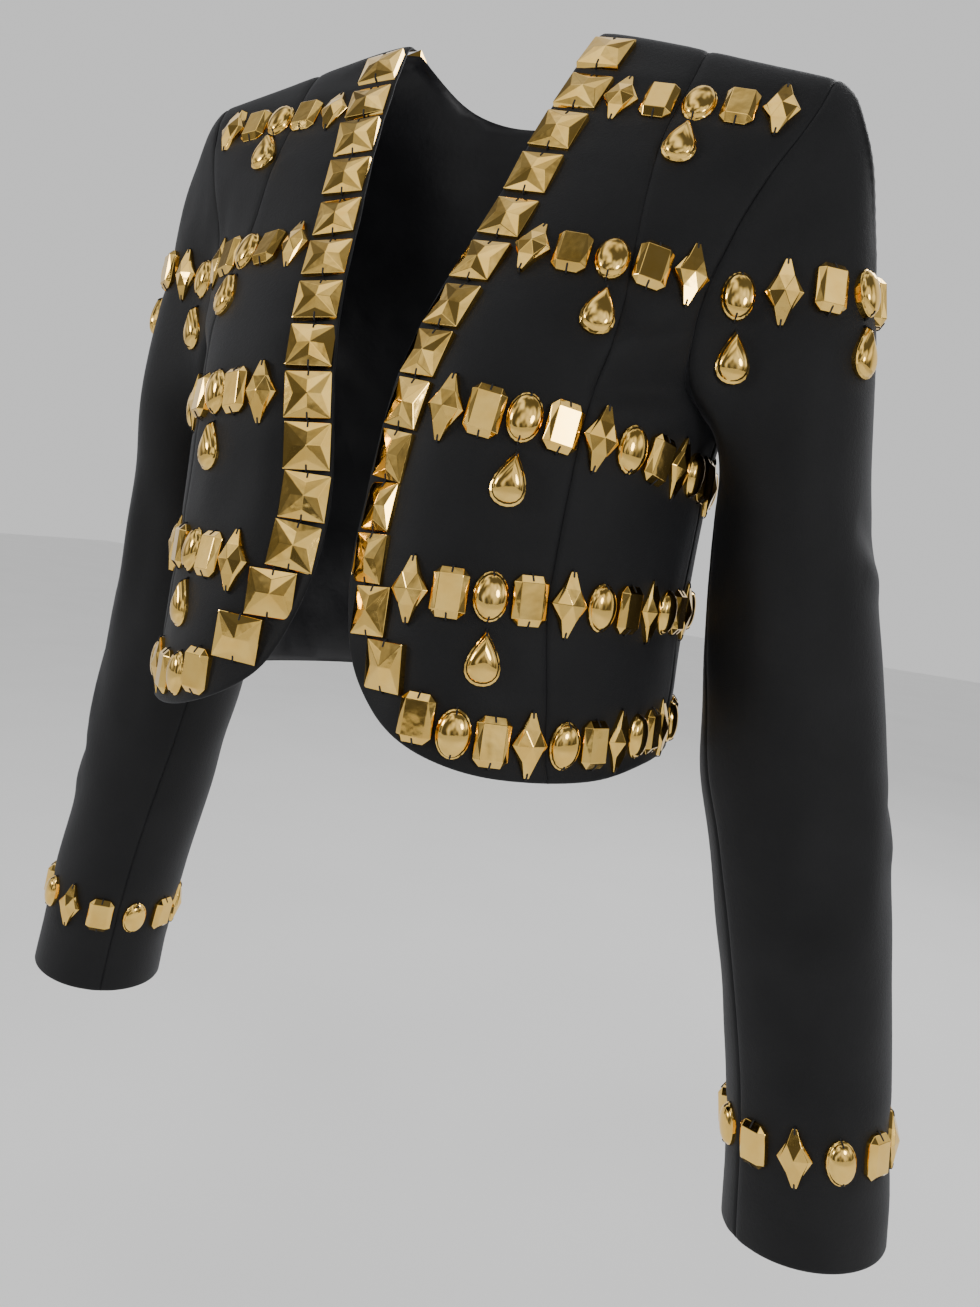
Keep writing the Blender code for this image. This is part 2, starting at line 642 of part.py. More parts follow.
def cloth_material():
    material = bpy.data.materials.new("black_wool_crepe")
    material.use_nodes = True
    shader = material.node_tree.nodes["Principled BSDF"]
    shader.inputs["Base Color"].default_value = (0.012, 0.013, 0.017, 1.0)
    shader.inputs["Roughness"].default_value = 0.85
    shader.inputs["Metallic"].default_value = 0.0
    return material


def main():
    for old in list(bpy.data.objects):
        bpy.data.objects.remove(old, do_unlink=True)
    folder = bpy.data.collections.new("beaded_cropped_jacket")
    bpy.context.scene.collection.children.link(folder)
    torso = Torso()

    # Outline pieces of the left half on the torso's pattern.
    edge = torso_line(FRONT_EDGE)
    front_hem = torso_line(FRONT_HEM, samples=20)
    back_hem = torso_line(BACK_HEM, back=True, samples=40)
    neck = torso_line(BACK_NECK, back=True, samples=30)
    edge[0, 1] = neck[-1, 1] = 0.0
    neck[-1, 0] = 2 * ACROSS - edge[0, 0]
    edge[-1] = front_hem[0]
    hem_side = (front_hem[-1] + back_hem[-1]) / 2
    front_hem[-1] = back_hem[-1] = hem_side
    tip = armhole_flat(0.0)[0]
    under_arm = armhole_flat(0.5)[0]

    # Rows round the torso, and the side seam that runs between their stones: the row's line,
    # its stones, those with a drop, its pitch in front and the slope of its stones there.
    rows = (
        (torso_row(
            ((3, -23.1), (9, -23.0), (12, -23.35), (15, -23.95), (16.6, -24.4)),
            ((0, -24.4), (8, -24.4), (16.6, -24.4)), 0.0550), "LE", (2, 14), 0.0193, ROW_LEAN),
        (torso_row(
            ((3, -32.1), (9, -31.8), (16.6, -31.7)),
            ((0, -31.4), (8, -31.5), (16.6, -31.7)), 0.0532), "LE", (2, 14), 0.0197, 0.0),
        (torso_row(
            ((5, -37.4), (6.8, -38.15), (8.8, -38.7), (12.6, -38.85), (14.8, -38.65), (15.8, -38.35)),
            ((0, -37.5), (8, -37.7), (15.8, -38.35)), 0.067), "EOEL", (), 0.0194, 0.0),
    )
    front_stones, side_stones, back_stones = [], [], []
    side_points, princess_points = [], []
    for (fore, aft), start, drops, pitch, lean in rows:
        line = np.concatenate([fore, aft[1:]])
        ahead = round(arc_curve(torso, fore)[-1] / pitch + 0.5)
        side = (ahead - 0.5) * pitch + 2 * SEAM_ROOM
        rest = arc_curve(torso, line)[-1] - side - SEAM_ROOM
        behind = round(rest / ROW_PITCH)
        princess_points.append(on_curve(torso, line, [3.5 * pitch + SEAM_ROOM / 2])[0][0])
        side_points.append(on_curve(torso, line, [side])[0][0])
        for number, letter in enumerate((start + ROW_PATTERN * 9)[:ahead + behind]):
            below = (0,) if number in drops else ()
            if number < ahead:
                place = number * pitch + (SEAM_ROOM if number > 3 else 0)
                stones = row_stones(torso, line, letter, [place], below, lean)
            else:
                place = side + SEAM_ROOM + (number - ahead + 0.5) * rest / behind
                stones = row_stones(torso, line, letter, [place], below)
            if number < 4:
                front_stones += stones
            elif number < ahead:
                side_stones += stones
            else:
                back_stones += stones

    # Rows of the chest: ends from the middle, heights there, stones ahead of the seam, pitch.
    for ends, heights, split, pitch in (
            ((0.0722, 0.156), (-0.1418, -0.1450), 3, 0.0205),
            ((0.0903, 0.186), (-0.0482, -0.0530), 2, 0.0212)):
        x = np.linspace(ends[0], ends[1], 40)
        line = torso_place(x, np.interp(x, ends, heights)) * [ACROSS, 1.0]
        gap, ways = on_curve(torso, line, [(split - 0.5) * pitch])
        below = beside(torso, gap[0], leaning(ways[0], ROW_LEAN), 0.0, -DROP_BELOW)
        princess_points = [gap[0], below] + princess_points
        for number, letter in enumerate("LEOEL"):
            drops = (0,) if letter == "O" else ()
            stones = row_stones(torso, line, letter, [number * pitch], drops, ROW_LEAN)
            if number < split:
                front_stones += stones
            else:
                side_stones += stones

    # Rows of the upper back, from near the armhole to the middle.
    for start_x, heights, drops in (
            (0.143, ((0, -14.0), (8, -14.1), (15, -14.4)), (2,)),
            (0.166, ((0, -7.6), (8, -7.0), (17, -6.4)), (2,))):
        table = np.array(heights) * CM
        x = np.linspace(start_x, 0, 60)
        line = torso_place(x, natural_spline(table[:, 0], table[:, 1], x), True) * [ACROSS, 1.0]
        length = arc_curve(torso, line)[-1]
        count = math.floor(length / BACK_PITCH + 0.5)
        pitch = length / (count - 0.5)
        for number, letter in enumerate(("LEOEL" + ROW_PATTERN * 4)[:count]):
            below = (0,) if number in drops else ()
            back_stones += row_stones(torso, line, letter, [number * pitch], below)

    # Squares down the front edge, the last ones upright, and round the back of the neck.
    squares = np.array(FRONT_SQUARES) * CM
    flats = torso_place(squares[:, 0], squares[:, 1]) * [ACROSS, 1.0]
    ways = np.gradient(torso.point(flats), axis=0)
    ways[:, 0] = np.minimum(ways[:, 0], 0)
    front_stones += [("square", flat, way, 0.0) for flat, way in zip(flats, ways)]
    nape = edge_centres(neck, EDGE_MARGIN)[::-1]
    length = arc_curve(torso, nape)[-1]
    pitch = (length - NAPE_START) / (NAPE_SQUARES - 0.5)
    spots = NAPE_START + pitch * np.arange(NAPE_SQUARES)
    back_stones += row_stones(torso, nape, "S" * NAPE_SQUARES, spots, lean=None)

    # The seams of the front and the side run through the gaps that the rows leave for them.
    top_x, top_z = PRINCESS_TOP
    princess_top = torso_line(((top_x, top_z), (top_x, top_z - 1)), samples=2)[0] * [1, 0]
    princess = smooth_down([princess_top] + princess_points + [edge[-1]])
    side_seam = smooth_down([under_arm] + side_points + [hem_side])

    seam_at = armhole_places()
    ahead_of_side = seam_at[seam_at <= 0.5]
    behind_side = seam_at[seam_at >= 0.5]
    black = cloth_material()
    shoulder_in = np.array([edge[0], princess[0]])
    shoulder_out = np.array([princess[0], tip])
    front = [
        (spaced(shoulder_in, 0.02), None),
        (spaced(princess, 0.016), None),
        (spaced(edge[::-1], 0.016), None),
    ]
    side_front = [
        (spaced(shoulder_out, 0.02), None),
        (armhole_flat(ahead_of_side), ahead_of_side),
        (spaced(side_seam, 0.012), None),
        (spaced(front_hem[::-1], 0.02), None),
        (spaced(princess[::-1], 0.016), None),
    ]
    for side in ("left", "right"):
        mirrored = side == "right"
        build_panel("front_" + side, torso, front, front_stones, black, folder, mirrored)
        build_panel("side_front_" + side, torso, side_front, side_stones, black, folder, mirrored)

    back_shoulder = np.array([[2 * ACROSS - tip[0], 0.0], neck[-1]])
    back = [
        (spaced(neck, 0.018), None),
        (spaced(back_shoulder[::-1], 0.02), None),
        (armhole_flat(behind_side)[::-1], behind_side[::-1]),
        (spaced(side_seam, 0.012), None),
        (spaced(back_hem[::-1], 0.024), None),
        (spaced(np.array([back_hem[0], neck[0]]), 0.024), None),
    ]
    for side in ("left", "right"):
        build_panel("back_" + side, torso, back, back_stones, black, folder, side == "right")

    build_sleeves(Sleeve(), black, folder)


def armhole_places():
    """The points that torso and sleeve share along the armhole, as shares of the way round."""
    even = set(np.round(np.linspace(0, 1, 31), 4))
    return np.array(sorted(even | {FRONT_SEAM_TOP, BACK_SEAM_TOP}))


def smooth_down(points):
    """A smooth line down the torso's pattern through the points."""
    points = np.array(points)
    downs = np.linspace(points[0, 1], points[-1, 1], 60)
    return np.stack([natural_spline(points[:, 1], points[:, 0], downs), downs], axis=-1)


def build_panel(name, surface, pieces, stones, material, folder, mirrored=False, spacing=0.021):
    """Joins outline pieces, opens the seam gap round them and builds the wall."""
    flats, amounts, offsets = [], [], []
    for line, at in pieces:
        line = line[:-1]
        normal = surface.normal(line) * WALL / 2
        amount = np.full(len(line), SEAM_GAP * 0.55)
        if at is not None:
            slant, length = mitre(at)
            normal = slant[:-1]
            amount = SEAM_GAP * 0.55 * length[:-1]
        flats.append(line)
        amounts.append(amount)
        offsets.append(normal)
    for number, (line, at) in enumerate(pieces):
        previous = pieces[number - 1][1]
        if at is None and previous is not None:
            slant, length = mitre(previous[-1:])
            offsets[number][0] = slant[0]
            amounts[number][0] = SEAM_GAP * 0.55 * length[0]
    outline, amount, offset = np.concatenate(flats), np.concatenate(amounts), np.concatenate(offsets)
    after = np.roll(outline, -1, axis=0)
    if np.sum(outline[:, 0] * after[:, 1] - after[:, 0] * outline[:, 1]) < 0:
        outline, amount, offset = outline[::-1], amount[::-1], offset[::-1]
    outline = inset(outline, amount)
    return panel(name, surface, outline, offset, stones, spacing, mirrored, material, folder)


def sleeve_seam(top, cuff, cap):
    """A sleeve seam on the pattern, from the armhole to the cuff."""
    along = np.linspace(-cap, ARM_LENGTH, 60)
    share = np.clip((along + cap) / (0.78 * (ARM_LENGTH + cap)), 0, 1)
    share = share * share * (3 - 2 * share)
    return np.stack([(top + (cuff - top) * share) * AROUND, along], axis=-1)


def build_sleeves(sleeve, material, folder):
    cap_front = cap_length(FRONT_SEAM_TOP)[0]
    cap_back = cap_length(BACK_SEAM_TOP)[0]
    front_seam = sleeve_seam(FRONT_SEAM_TOP, FRONT_SEAM_CUFF, cap_front)
    back_seam = sleeve_seam(BACK_SEAM_TOP, BACK_SEAM_CUFF, cap_back)
    far_seam = back_seam - [AROUND, 0]
    seam_at = armhole_places()
    under_at = seam_at[(seam_at >= FRONT_SEAM_TOP) & (seam_at <= BACK_SEAM_TOP)]
    over_front = seam_at[(seam_at > 0) & (seam_at <= FRONT_SEAM_TOP)]
    upper_at = np.concatenate([seam_at[seam_at >= BACK_SEAM_TOP] - 1, over_front])

    def top_line(at):
        return np.stack([at * AROUND, -cap_length(at)], axis=-1)

    def cuff_line(start, end, count):
        around = np.linspace(start, end, count)
        return np.stack([around * AROUND, np.full(count, ARM_LENGTH)], axis=-1)

    upper = [
        (top_line(upper_at), upper_at % 1.0),
        (spaced(front_seam, 0.022), None),
        (cuff_line(FRONT_SEAM_CUFF, BACK_SEAM_CUFF - 1, 15), None),
        (spaced(far_seam[::-1], 0.022), None),
    ]
    under = [
        (top_line(under_at), under_at),
        (spaced(back_seam, 0.022), None),
        (cuff_line(BACK_SEAM_CUFF, FRONT_SEAM_CUFF, 8), None),
        (spaced(front_seam[::-1], 0.022), None),
    ]

    # The row over the top of the sleeve, from armhole to armhole and highest at the outside.
    around = np.linspace(0.42, -0.31, 90)
    along = np.linspace(-0.2, 0.02, 160)
    line = []
    for place in around:
        cap = cap_length(place)[0]
        runs = along[along > 0.001 - cap]
        heights = sleeve.point(np.stack([np.full_like(runs, place * AROUND), runs], axis=-1))[:, 2]
        wanted = SLEEVE_ROW_TOP - SLEEVE_ROW_DROP * (1 - math.cos(place * 2 * math.pi))
        if heights[0] >= wanted:
            line.append((place * AROUND, np.interp(-wanted, -heights, runs)))
    line = np.array(line)
    length = arc_curve(sleeve, line)[-1]
    places = np.linspace(0.0112, length - 0.0122, 8)
    upper_stones = row_stones(sleeve, line, "OLEOELOE", places, (0, 3, 6))
    under_stones = []
    for number, letter in enumerate("ELOELOELOLEO"):
        place = FRONT_SEAM_CUFF - (number + 0.5) / CUFF_STONES
        inner = number >= 8
        flat = np.array([(place + (1 if inner else 0)) * AROUND, ARM_LENGTH - CUFF_ROW_UP])
        heading = sleeve.point(flat[None] - [0.002, 0])[0] - sleeve.point(flat[None] + [0.002, 0])[0]
        (under_stones if inner else upper_stones).append((LETTERS[letter], flat, heading, 0.0))
    for side in ("left", "right"):
        mirrored = side == "right"
        build_panel("sleeve_upper_" + side, sleeve, upper, upper_stones, material, folder, mirrored)
        build_panel("sleeve_under_" + side, sleeve, under, under_stones, material, folder, mirrored)


main()
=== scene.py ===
"""The cropped evening jacket dressed for its picture: fine cloth shells with their creases
and lining, and every metal stone with its facets and its black thread.

Lengths are in metres. +X is the wearer's left, -Y the front and +Z up. The shape functions
and the tables repeat those of part.py, so each piece lies where its solid is.
"""

import math

import bmesh
import bpy
import numpy as np
from mathutils import Matrix
from mathutils.geometry import delaunay_2d_cdt


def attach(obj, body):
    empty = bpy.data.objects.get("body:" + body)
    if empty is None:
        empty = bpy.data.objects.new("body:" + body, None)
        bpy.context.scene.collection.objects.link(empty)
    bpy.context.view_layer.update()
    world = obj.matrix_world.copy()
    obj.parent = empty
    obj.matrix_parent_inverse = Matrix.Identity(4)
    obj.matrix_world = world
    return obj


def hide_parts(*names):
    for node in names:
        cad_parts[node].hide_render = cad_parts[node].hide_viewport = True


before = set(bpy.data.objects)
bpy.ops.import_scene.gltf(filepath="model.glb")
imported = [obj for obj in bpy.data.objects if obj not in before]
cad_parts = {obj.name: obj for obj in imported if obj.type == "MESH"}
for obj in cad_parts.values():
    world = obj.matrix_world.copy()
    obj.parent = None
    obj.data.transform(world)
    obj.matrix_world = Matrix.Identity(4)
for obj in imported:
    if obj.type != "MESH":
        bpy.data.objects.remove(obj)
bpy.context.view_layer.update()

CM = 0.01
WALL = 0.0025            # cloth, interlining and lining together
ROW_PITCH = 0.0198       # from stone to stone where the long rows cross the back
BACK_PITCH = 0.0206      # and at least along the short rows of the upper back
ROW_LEAN = 0.14          # slope of the stones in the upper rows, bottoms towards the front edge
SEAM_ROOM = 0.0010       # more room between two stones where a seam passes
EDGE_MARGIN = 0.0140     # from the neck's edge to the middle of a square
NAPE_SQUARES = 3         # on each side of the back of the neck
NAPE_START = 0.0150      # from the shoulder seam to the middle of the first of them
ACROSS = 0.235           # length of a quarter of the torso, for even triangles
AROUND = 0.33            # length round a sleeve, for even triangles
HEAD_REACH = 0.034       # how far the sleeve head stands out before it turns down
CAP_START = 0.30         # pull of the cap's curve at the armhole and at the upper arm,
CAP_END = 0.36           # as shares of its length
HEADING_STEP = 0.002     # to each side, to measure the way that a line runs
TURN_STEP = 0.004        # and the way that the cloth faces: in turn, round a sleeve and down
ROUND_STEP = 0.003
DOWN_STEP = 0.001
FOLD_FADE_TOP = 0.03     # length over which a sleeve's folds fade at the armhole and cuff
FOLD_FADE_CUFF = 0.05
LINE_STEPS = 60          # points of a smooth line before it is spaced out

NECK_X = 0.062           # where the shoulder seam meets the neckline
RIDGE_Z = 0.004          # height of the shoulder seam there
NAPE_SHIFT = 0.030       # how far the back of the neck lies behind the shoulder line
NAPE_REACH = 0.085       # and how far that goes on to each side
NAPE_FADE = 0.13         # and down
TIP_FORWARD = 0.03       # how fast the shoulder seam comes forward towards its tip
TIP_FADE = 0.12
SLOPE_EASE = 0.012       # how softly the shoulder's slope starts beside the neck
ROLL_WIDTH = 0.026       # width of the front edge's inward roll

# Levels of the torso in centimetres, from the shoulder ridge to below the hem.
TORSO_COLUMNS = ("down", "drop", "half_width", "middle_y", "front", "back", "power", "slope", "roll")
TORSO_LEVELS = (
    (0.0, 0.00, 20.4, 0.6, 0.00, 0.00, 6.0, 0.27, 0.0),
    (1.0, 0.18, 20.4, 0.6, 0.62, 0.95, 6.0, 0.27, 0.0),
    (2.0, 0.68, 20.4, 0.6, 1.20, 1.85, 6.0, 0.27, 0.0),
    (4.0, 2.10, 20.3, 0.6, 2.25, 3.25, 5.6, 0.265, 0.0),
    (7.0, 4.60, 19.8, 0.6, 3.85, 4.85, 4.4, 0.25, 0.1),
    (11.5, 8.60, 19.2, 0.6, 6.15, 6.90, 2.9, 0.17, 0.2),
    (16.5, 13.20, 18.3, 0.6, 8.75, 8.80, 2.2, 0.08, 0.5),
    (21.0, 17.30, 17.3, 0.5, 11.20, 10.10, 2.15, 0.03, 1.0),
    (26.0, 22.10, 16.05, 0.5, 13.15, 10.90, 2.3, 0.00, 1.5),
    (31.0, 27.10, 15.7, 0.5, 13.65, 10.80, 2.35, 0.00, 1.8),
    (37.0, 33.10, 15.55, 0.5, 14.50, 10.90, 2.35, 0.00, 1.7),
    (43.5, 39.60, 15.6, 0.5, 15.20, 11.20, 2.35, 0.00, 1.1),
    (47.5, 43.60, 15.8, 0.5, 15.50, 11.40, 2.35, 0.00, 0.8),
)

# Outlines on the torso in centimetres: each point's distance from the middle and height.
FRONT_EDGE = (
    (6.2, 0.4), (5.84, -1.6), (5.3, -4.9), (4.36, -9.9), (3.25, -15.0), (2.14, -20.1), (1.34, -25.0),
    (1.0, -28.5), (1.06, -31.5), (1.68, -34.4), (2.85, -37.0), (4.75, -38.8), (7.2, -39.95), (9.8, -40.6),
    (12.6, -40.8),
)
FRONT_HEM = ((12.6, -40.8), (13.5, -40.8), (14.3, -40.75), (15.1, -40.55), (15.8, -40.15))
# The middles of the squares down the front edge, from the shoulder to the hem.
FRONT_SQUARES = (
    (7.2, -1.6), (6.8, -4.3), (6.3, -7.0), (5.8, -9.7), (5.25, -12.4), (4.65, -15.05), (4.05, -17.65),
    (3.5, -20.25), (3.05, -22.85), (2.65, -25.5), (2.35, -28.15), (2.4, -30.8), (3.1, -33.4),
    (4.5, -35.95),
)
BACK_HEM = ((0.0, -39.5), (6.0, -39.55), (11.0, -39.8), (14.2, -40.05), (15.8, -40.15))
PRINCESS_TOP = (12.6, -1.4)
ARMHOLE_FRONT = (
    (19.7, -3.3), (19.0, -5.5), (17.7, -8.4), (16.3, -12.0), (15.5, -15.4), (15.3, -18.2), (15.6, -20.3),
    (16.4, -21.7),
)
ARMHOLE_BACK = (
    (19.7, -3.3), (19.1, -5.5), (18.1, -8.4), (16.95, -12.0), (16.2, -15.4), (15.8, -18.2), (15.85, -20.3),
    (16.4, -21.7),
)
ARMHOLE_STEPS = 25
HALF_ARMHOLE = 75        # points of a piece's outline along half the armhole
UNDER_ARM_TURN = 1.02    # the lowest point of the armhole lies a little behind the side
BACK_NECK = ((0.0, -2.0), (2.5, -1.8), (4.8, -1.0), (6.2, 0.4))

# Rings of a sleeve in centimetres, from the upper arm to the cuff: the middle's x, y and z,
# then half width and half depth.
SLEEVE_RINGS = (
    (20.8, 2.5, -25.4, 4.2, 5.6),
    (21.35, 3.2, -30.0, 4.6, 5.35),
    (22.1, 3.8, -35.0, 4.95, 5.1),
    (23.15, 4.3, -40.5, 5.1, 4.95),
    (24.4, 4.7, -46.5, 5.0, 4.85),
    (25.65, 4.8, -52.5, 4.8, 4.8),
    (26.8, 4.6, -58.5, 4.65, 4.75),
    (28.0, 4.2, -67.3, 4.65, 4.75),
)

# Broad soft folds of a sleeve: place round it, place down it, spread round and down, height.
SLEEVE_FOLDS = (
    (0.30, -0.02, 0.10, 0.022, -0.0018),
    (0.14, 0.00, 0.16, 0.030, -0.0020),
    (0.45, 0.15, 0.12, 0.030, 0.0020),
    (0.70, 0.17, 0.12, 0.028, 0.0024),
    (0.72, 0.22, 0.14, 0.022, -0.0022),
    (0.20, 0.24, 0.15, 0.030, 0.0015),
)

# Where the sleeve's two seams start and end, as shares of the way round it.
FRONT_SEAM_TOP = 0.445
FRONT_SEAM_CUFF = 0.380
BACK_SEAM_TOP = 0.655
BACK_SEAM_CUFF = 0.7133
SLEEVE_ROW_TOP = -0.138  # height of the row round the upper arm, at the outside
SLEEVE_ROW_DROP = 0.012  # and how much lower it is in front and behind
SLEEVE_ROW = "OLEOELOE"
SLEEVE_ROW_DROPS = (0, 3, 6)
SLEEVE_ROW_ENDS = (0.0112, 0.0122)  # from the armhole to the middles of its end stones
CUFF_ROW = "ELOELOELOLEO"
CUFF_OUTER = 8           # stones of it on the upper sleeve; the others are on the under sleeve
CUFF_ROW_UP = 0.063      # from the cuff's edge to the middle of its row

LETTERS = {"S": "square", "E": "emerald", "O": "oval", "L": "lozenge"}
ROW_PATTERN = "OEL"
BEFORE_PRINCESS = 4      # stones of a long row between the front edge and the princess seam
DROP_BELOW = 0.0302      # from an oval's middle to the middle of the drop under it


def natural_spline(knots, values, at):
    """Smooth curve through values at the knots, straight beyond both ends."""
    knots = np.asarray(knots, float)
    values = np.asarray(values, float)
    at = np.asarray(at, float)
    step = np.diff(knots)
    slope = np.diff(values, axis=0) / step.reshape((-1,) + (1,) * (values.ndim - 1))
    count = len(knots)
    matrix = np.eye(count)
    right = np.zeros_like(values)
    for row in range(1, count - 1):
        matrix[row, row - 1:row + 2] = step[row - 1], 2 * (step[row - 1] + step[row]), step[row]
        right[row] = 6 * (slope[row] - slope[row - 1])
    bend = np.linalg.solve(matrix, right.reshape(count, -1)).reshape(values.shape)
    inside = np.clip(at, knots[0], knots[-1])
    place = np.clip(np.searchsorted(knots, inside, side="right") - 1, 0, count - 2)
    extra = (1,) * (values.ndim - 1)
    width = step[place].reshape(at.shape + extra)
    ahead = (inside - knots[place]).reshape(at.shape + extra)
    behind = width - ahead
    curve = (bend[place] * behind ** 3 + bend[place + 1] * ahead ** 3) / (6 * width)
    curve += (values[place] / width - bend[place] * width / 6) * behind
    curve += (values[place + 1] / width - bend[place + 1] * width / 6) * ahead
    start = slope[0] - bend[1] * step[0] / 6
    end = slope[-1] + bend[-2] * step[-1] / 6
    before = np.minimum(at - knots[0], 0).reshape(at.shape + extra)
    after = np.maximum(at - knots[-1], 0).reshape(at.shape + extra)
    return curve + start * before + end * after


def unit(vectors):
    return vectors / np.linalg.norm(vectors, axis=-1, keepdims=True)


TORSO = {name: np.array(column) for name, column in zip(TORSO_COLUMNS, zip(*TORSO_LEVELS))}
for measure in TORSO_COLUMNS:
    if measure not in ("power", "slope"):
        TORSO[measure] = TORSO[measure] * CM


def level(name, down):
    return natural_spline(TORSO["down"], TORSO[name], down)


def edge_x(z):
    edge = np.array(FRONT_EDGE[:11]) * CM
    return np.interp(-z, -edge[:, 1], edge[:, 0])


def torso_point(turn, down):
    """Middle of the cloth. turn is 0 at the middle of the front, 1 at the side, 2 at the
    middle of the back and on to 4; down is the way down the cloth from the shoulder."""
    turn = np.asarray(turn, float)
    down = np.asarray(down, float)
    turn = np.where(down < 0, 2 - turn, turn)
    down = np.abs(down)
    angle = turn * math.pi / 2
    sine, cosine = np.sin(angle), np.cos(angle)
    power = level("power", down)
    size = (np.abs(sine) ** power + np.abs(cosine) ** power) ** (1 / power)
    x = level("half_width", down) * sine / size
    in_front = cosine > 0
    depth = np.where(in_front, level("front", down), level("back", down))
    y = level("middle_y", down) - depth * cosine / size
    outside = np.sqrt(np.maximum(np.abs(x) - NECK_X, 0) ** 2 + SLOPE_EASE ** 2) - SLOPE_EASE
    z = RIDGE_Z - level("drop", down) - level("slope", down) * outside
    y = y - TIP_FORWARD * outside * np.exp(-(down / TIP_FADE) ** 2)
    roll = level("roll", down) * np.exp(-((np.abs(x) - edge_x(z)) / ROLL_WIDTH) ** 2)
    y = y + np.where(in_front, roll, 0)
    nape = NAPE_SHIFT * np.maximum(1 - (x / NAPE_REACH) ** 2, 0) ** 2
    nape = nape * np.exp(-(down / NAPE_FADE) ** 2)
    y = y + np.where(in_front, 0, nape)
    return np.stack([x, y, z], axis=-1)


def torso_place(x, z, back=False):
    """Turn and down of the torso's point at this distance from the middle and height."""
    x = np.atleast_1d(np.asarray(x, float))
    z = np.atleast_1d(np.asarray(z, float))
    turns = np.linspace(2, 1, 161) if back else np.linspace(0, 1, 161)
    downs = np.linspace(0, TORSO["down"][-1], 481)
    down = np.interp(RIDGE_Z - z, level("drop", downs), downs)
    turn = np.ones_like(x)
    for _ in range(14):
        rows = torso_point(turns[None, :], np.repeat(down[:, None], len(turns), axis=1))[..., 0]
        turn = np.array([np.interp(place, row, turns) for place, row in zip(x, rows)])
        down = np.maximum(down + torso_point(turn, down)[:, 2] - z, 0)
    return np.stack([turn, down], axis=-1)


def pattern_slopes(surface, flat):
    """Change of the surface point along both directions of the pattern, as two columns."""
    step = 0.0015
    columns = []
    for way in ([step, 0.0], [0.0, step]):
        change = surface.point(flat[None] + way)[0] - surface.point(flat[None] - way)[0]
        columns.append(change / (2 * step))
    return np.stack(columns, axis=1)


def surface_normal(point, first, second, step_first, step_second):
    along = point(first + step_first, second) - point(first - step_first, second)
    across = point(first, second + step_second) - point(first, second - step_second)
    return unit(np.cross(along, across))


class Torso:
    """The torso's cloth over a flat pattern of (turn * ACROSS, down)."""

    def point(self, flat):
        return torso_point(flat[..., 0] / ACROSS, flat[..., 1])

    def normal(self, flat):
        return -surface_normal(torso_point, flat[..., 0] / ACROSS, flat[..., 1], TURN_STEP, DOWN_STEP)


def armhole_flat(around):
    """Places of the armhole on the torso's pattern; around runs from the shoulder tip down
    the front to 0.5 under the arm and up the back to 1."""
    around = np.atleast_1d(np.asarray(around, float))
    around = np.where((around < 0) | (around > 1), around % 1.0, around)
    flat = np.zeros((len(around), 2))
    for back, line in ((False, FRONT_CURVE), (True, BACK_CURVE)):
        chosen = around > 0.5 if back else around <= 0.5
        share = (1 - around[chosen]) * 2 if back else around[chosen] * 2
        flat[chosen] = natural_spline(np.linspace(0, 1, len(line)), line, share)
    return flat * np.array([ACROSS, 1.0])


def run_along(points):
    """Length along a line up to each of its points."""
    return np.concatenate([[0], np.cumsum(np.linalg.norm(np.diff(points, axis=0), axis=1))])


def along_line(distances, run, line):
    """Places at these lengths along a flat line."""
    return np.stack([np.interp(distances, run, line[:, k]) for k in (0, 1)], axis=-1)


def torso_flat(x, z, back=False):
    """The torso's point at this distance from the middle and height, on its pattern."""
    return torso_place(x, z, back) * [ACROSS, 1.0]


def even_curve(points, back):
    """A curve given by x and z, as places on the torso's pattern at even steps."""
    points = np.array(points) * CM
    length = run_along(points)
    fine = natural_spline(length, points, np.linspace(0, length[-1], 90))
    places = torso_place(fine[:, 0], fine[:, 1], back)
    places[-1, 0] = UNDER_ARM_TURN
    run = run_along(places * [ACROSS, 1])
    return along_line(np.linspace(0, run[-1], ARMHOLE_STEPS), run, places)


FRONT_CURVE = even_curve(ARMHOLE_FRONT, False)
BACK_CURVE = even_curve(ARMHOLE_BACK, True)
UNDER_ARM = (FRONT_CURVE[-1] + BACK_CURVE[-1]) / 2
SHOULDER_TIP = (FRONT_CURVE[0] * [1, 0] + BACK_CURVE[0] * [-1, 0] + [2, 0]) / 2
NEAR_END = np.linspace(0, 1, ARMHOLE_STEPS)[:, None] ** 4
NEAR_START = np.linspace(1, 0, ARMHOLE_STEPS)[:, None] ** 4
FRONT_CURVE += (UNDER_ARM - FRONT_CURVE[-1]) * NEAR_END
BACK_CURVE += (UNDER_ARM - BACK_CURVE[-1]) * NEAR_END
FRONT_CURVE += (SHOULDER_TIP - FRONT_CURVE[0]) * NEAR_START
BACK_CURVE += (SHOULDER_TIP * [-1, 1] + [2, 0] - BACK_CURVE[0]) * NEAR_START

RINGS = np.array(SLEEVE_RINGS) * CM
RING_AT = run_along(RINGS[:, :3])
ARM_LENGTH = RING_AT[-1]


def arm_point(around, along):
    """Cloth of the sleeve below the armhole, along from 0 at the upper arm to the cuff."""
    ring = natural_spline(RING_AT, RINGS, along)
    ahead = unit(natural_spline(RING_AT, RINGS[:, :3], along + HEADING_STEP)
                 - natural_spline(RING_AT, RINGS[:, :3], along - HEADING_STEP))
    forward = np.zeros_like(ahead)
    forward[..., 1] = -1.0
    forward = unit(forward - ahead * np.sum(forward * ahead, axis=-1, keepdims=True))
    outward = np.cross(forward, ahead)
    angle = around * 2 * math.pi
    across = (ring[..., 3] * np.cos(angle))[..., None] * outward
    return ring[..., :3] + across + (ring[..., 4] * np.sin(angle))[..., None] * forward


def sleeve_fold(around, along):
    height = np.zeros(np.broadcast(around, along).shape)
    for place, down, spread, reach, size in SLEEVE_FOLDS:
        apart = (around - place + 0.5) % 1.0 - 0.5
        height += size * np.exp(-(apart / spread) ** 2 - ((along - down) / reach) ** 2)
    return height


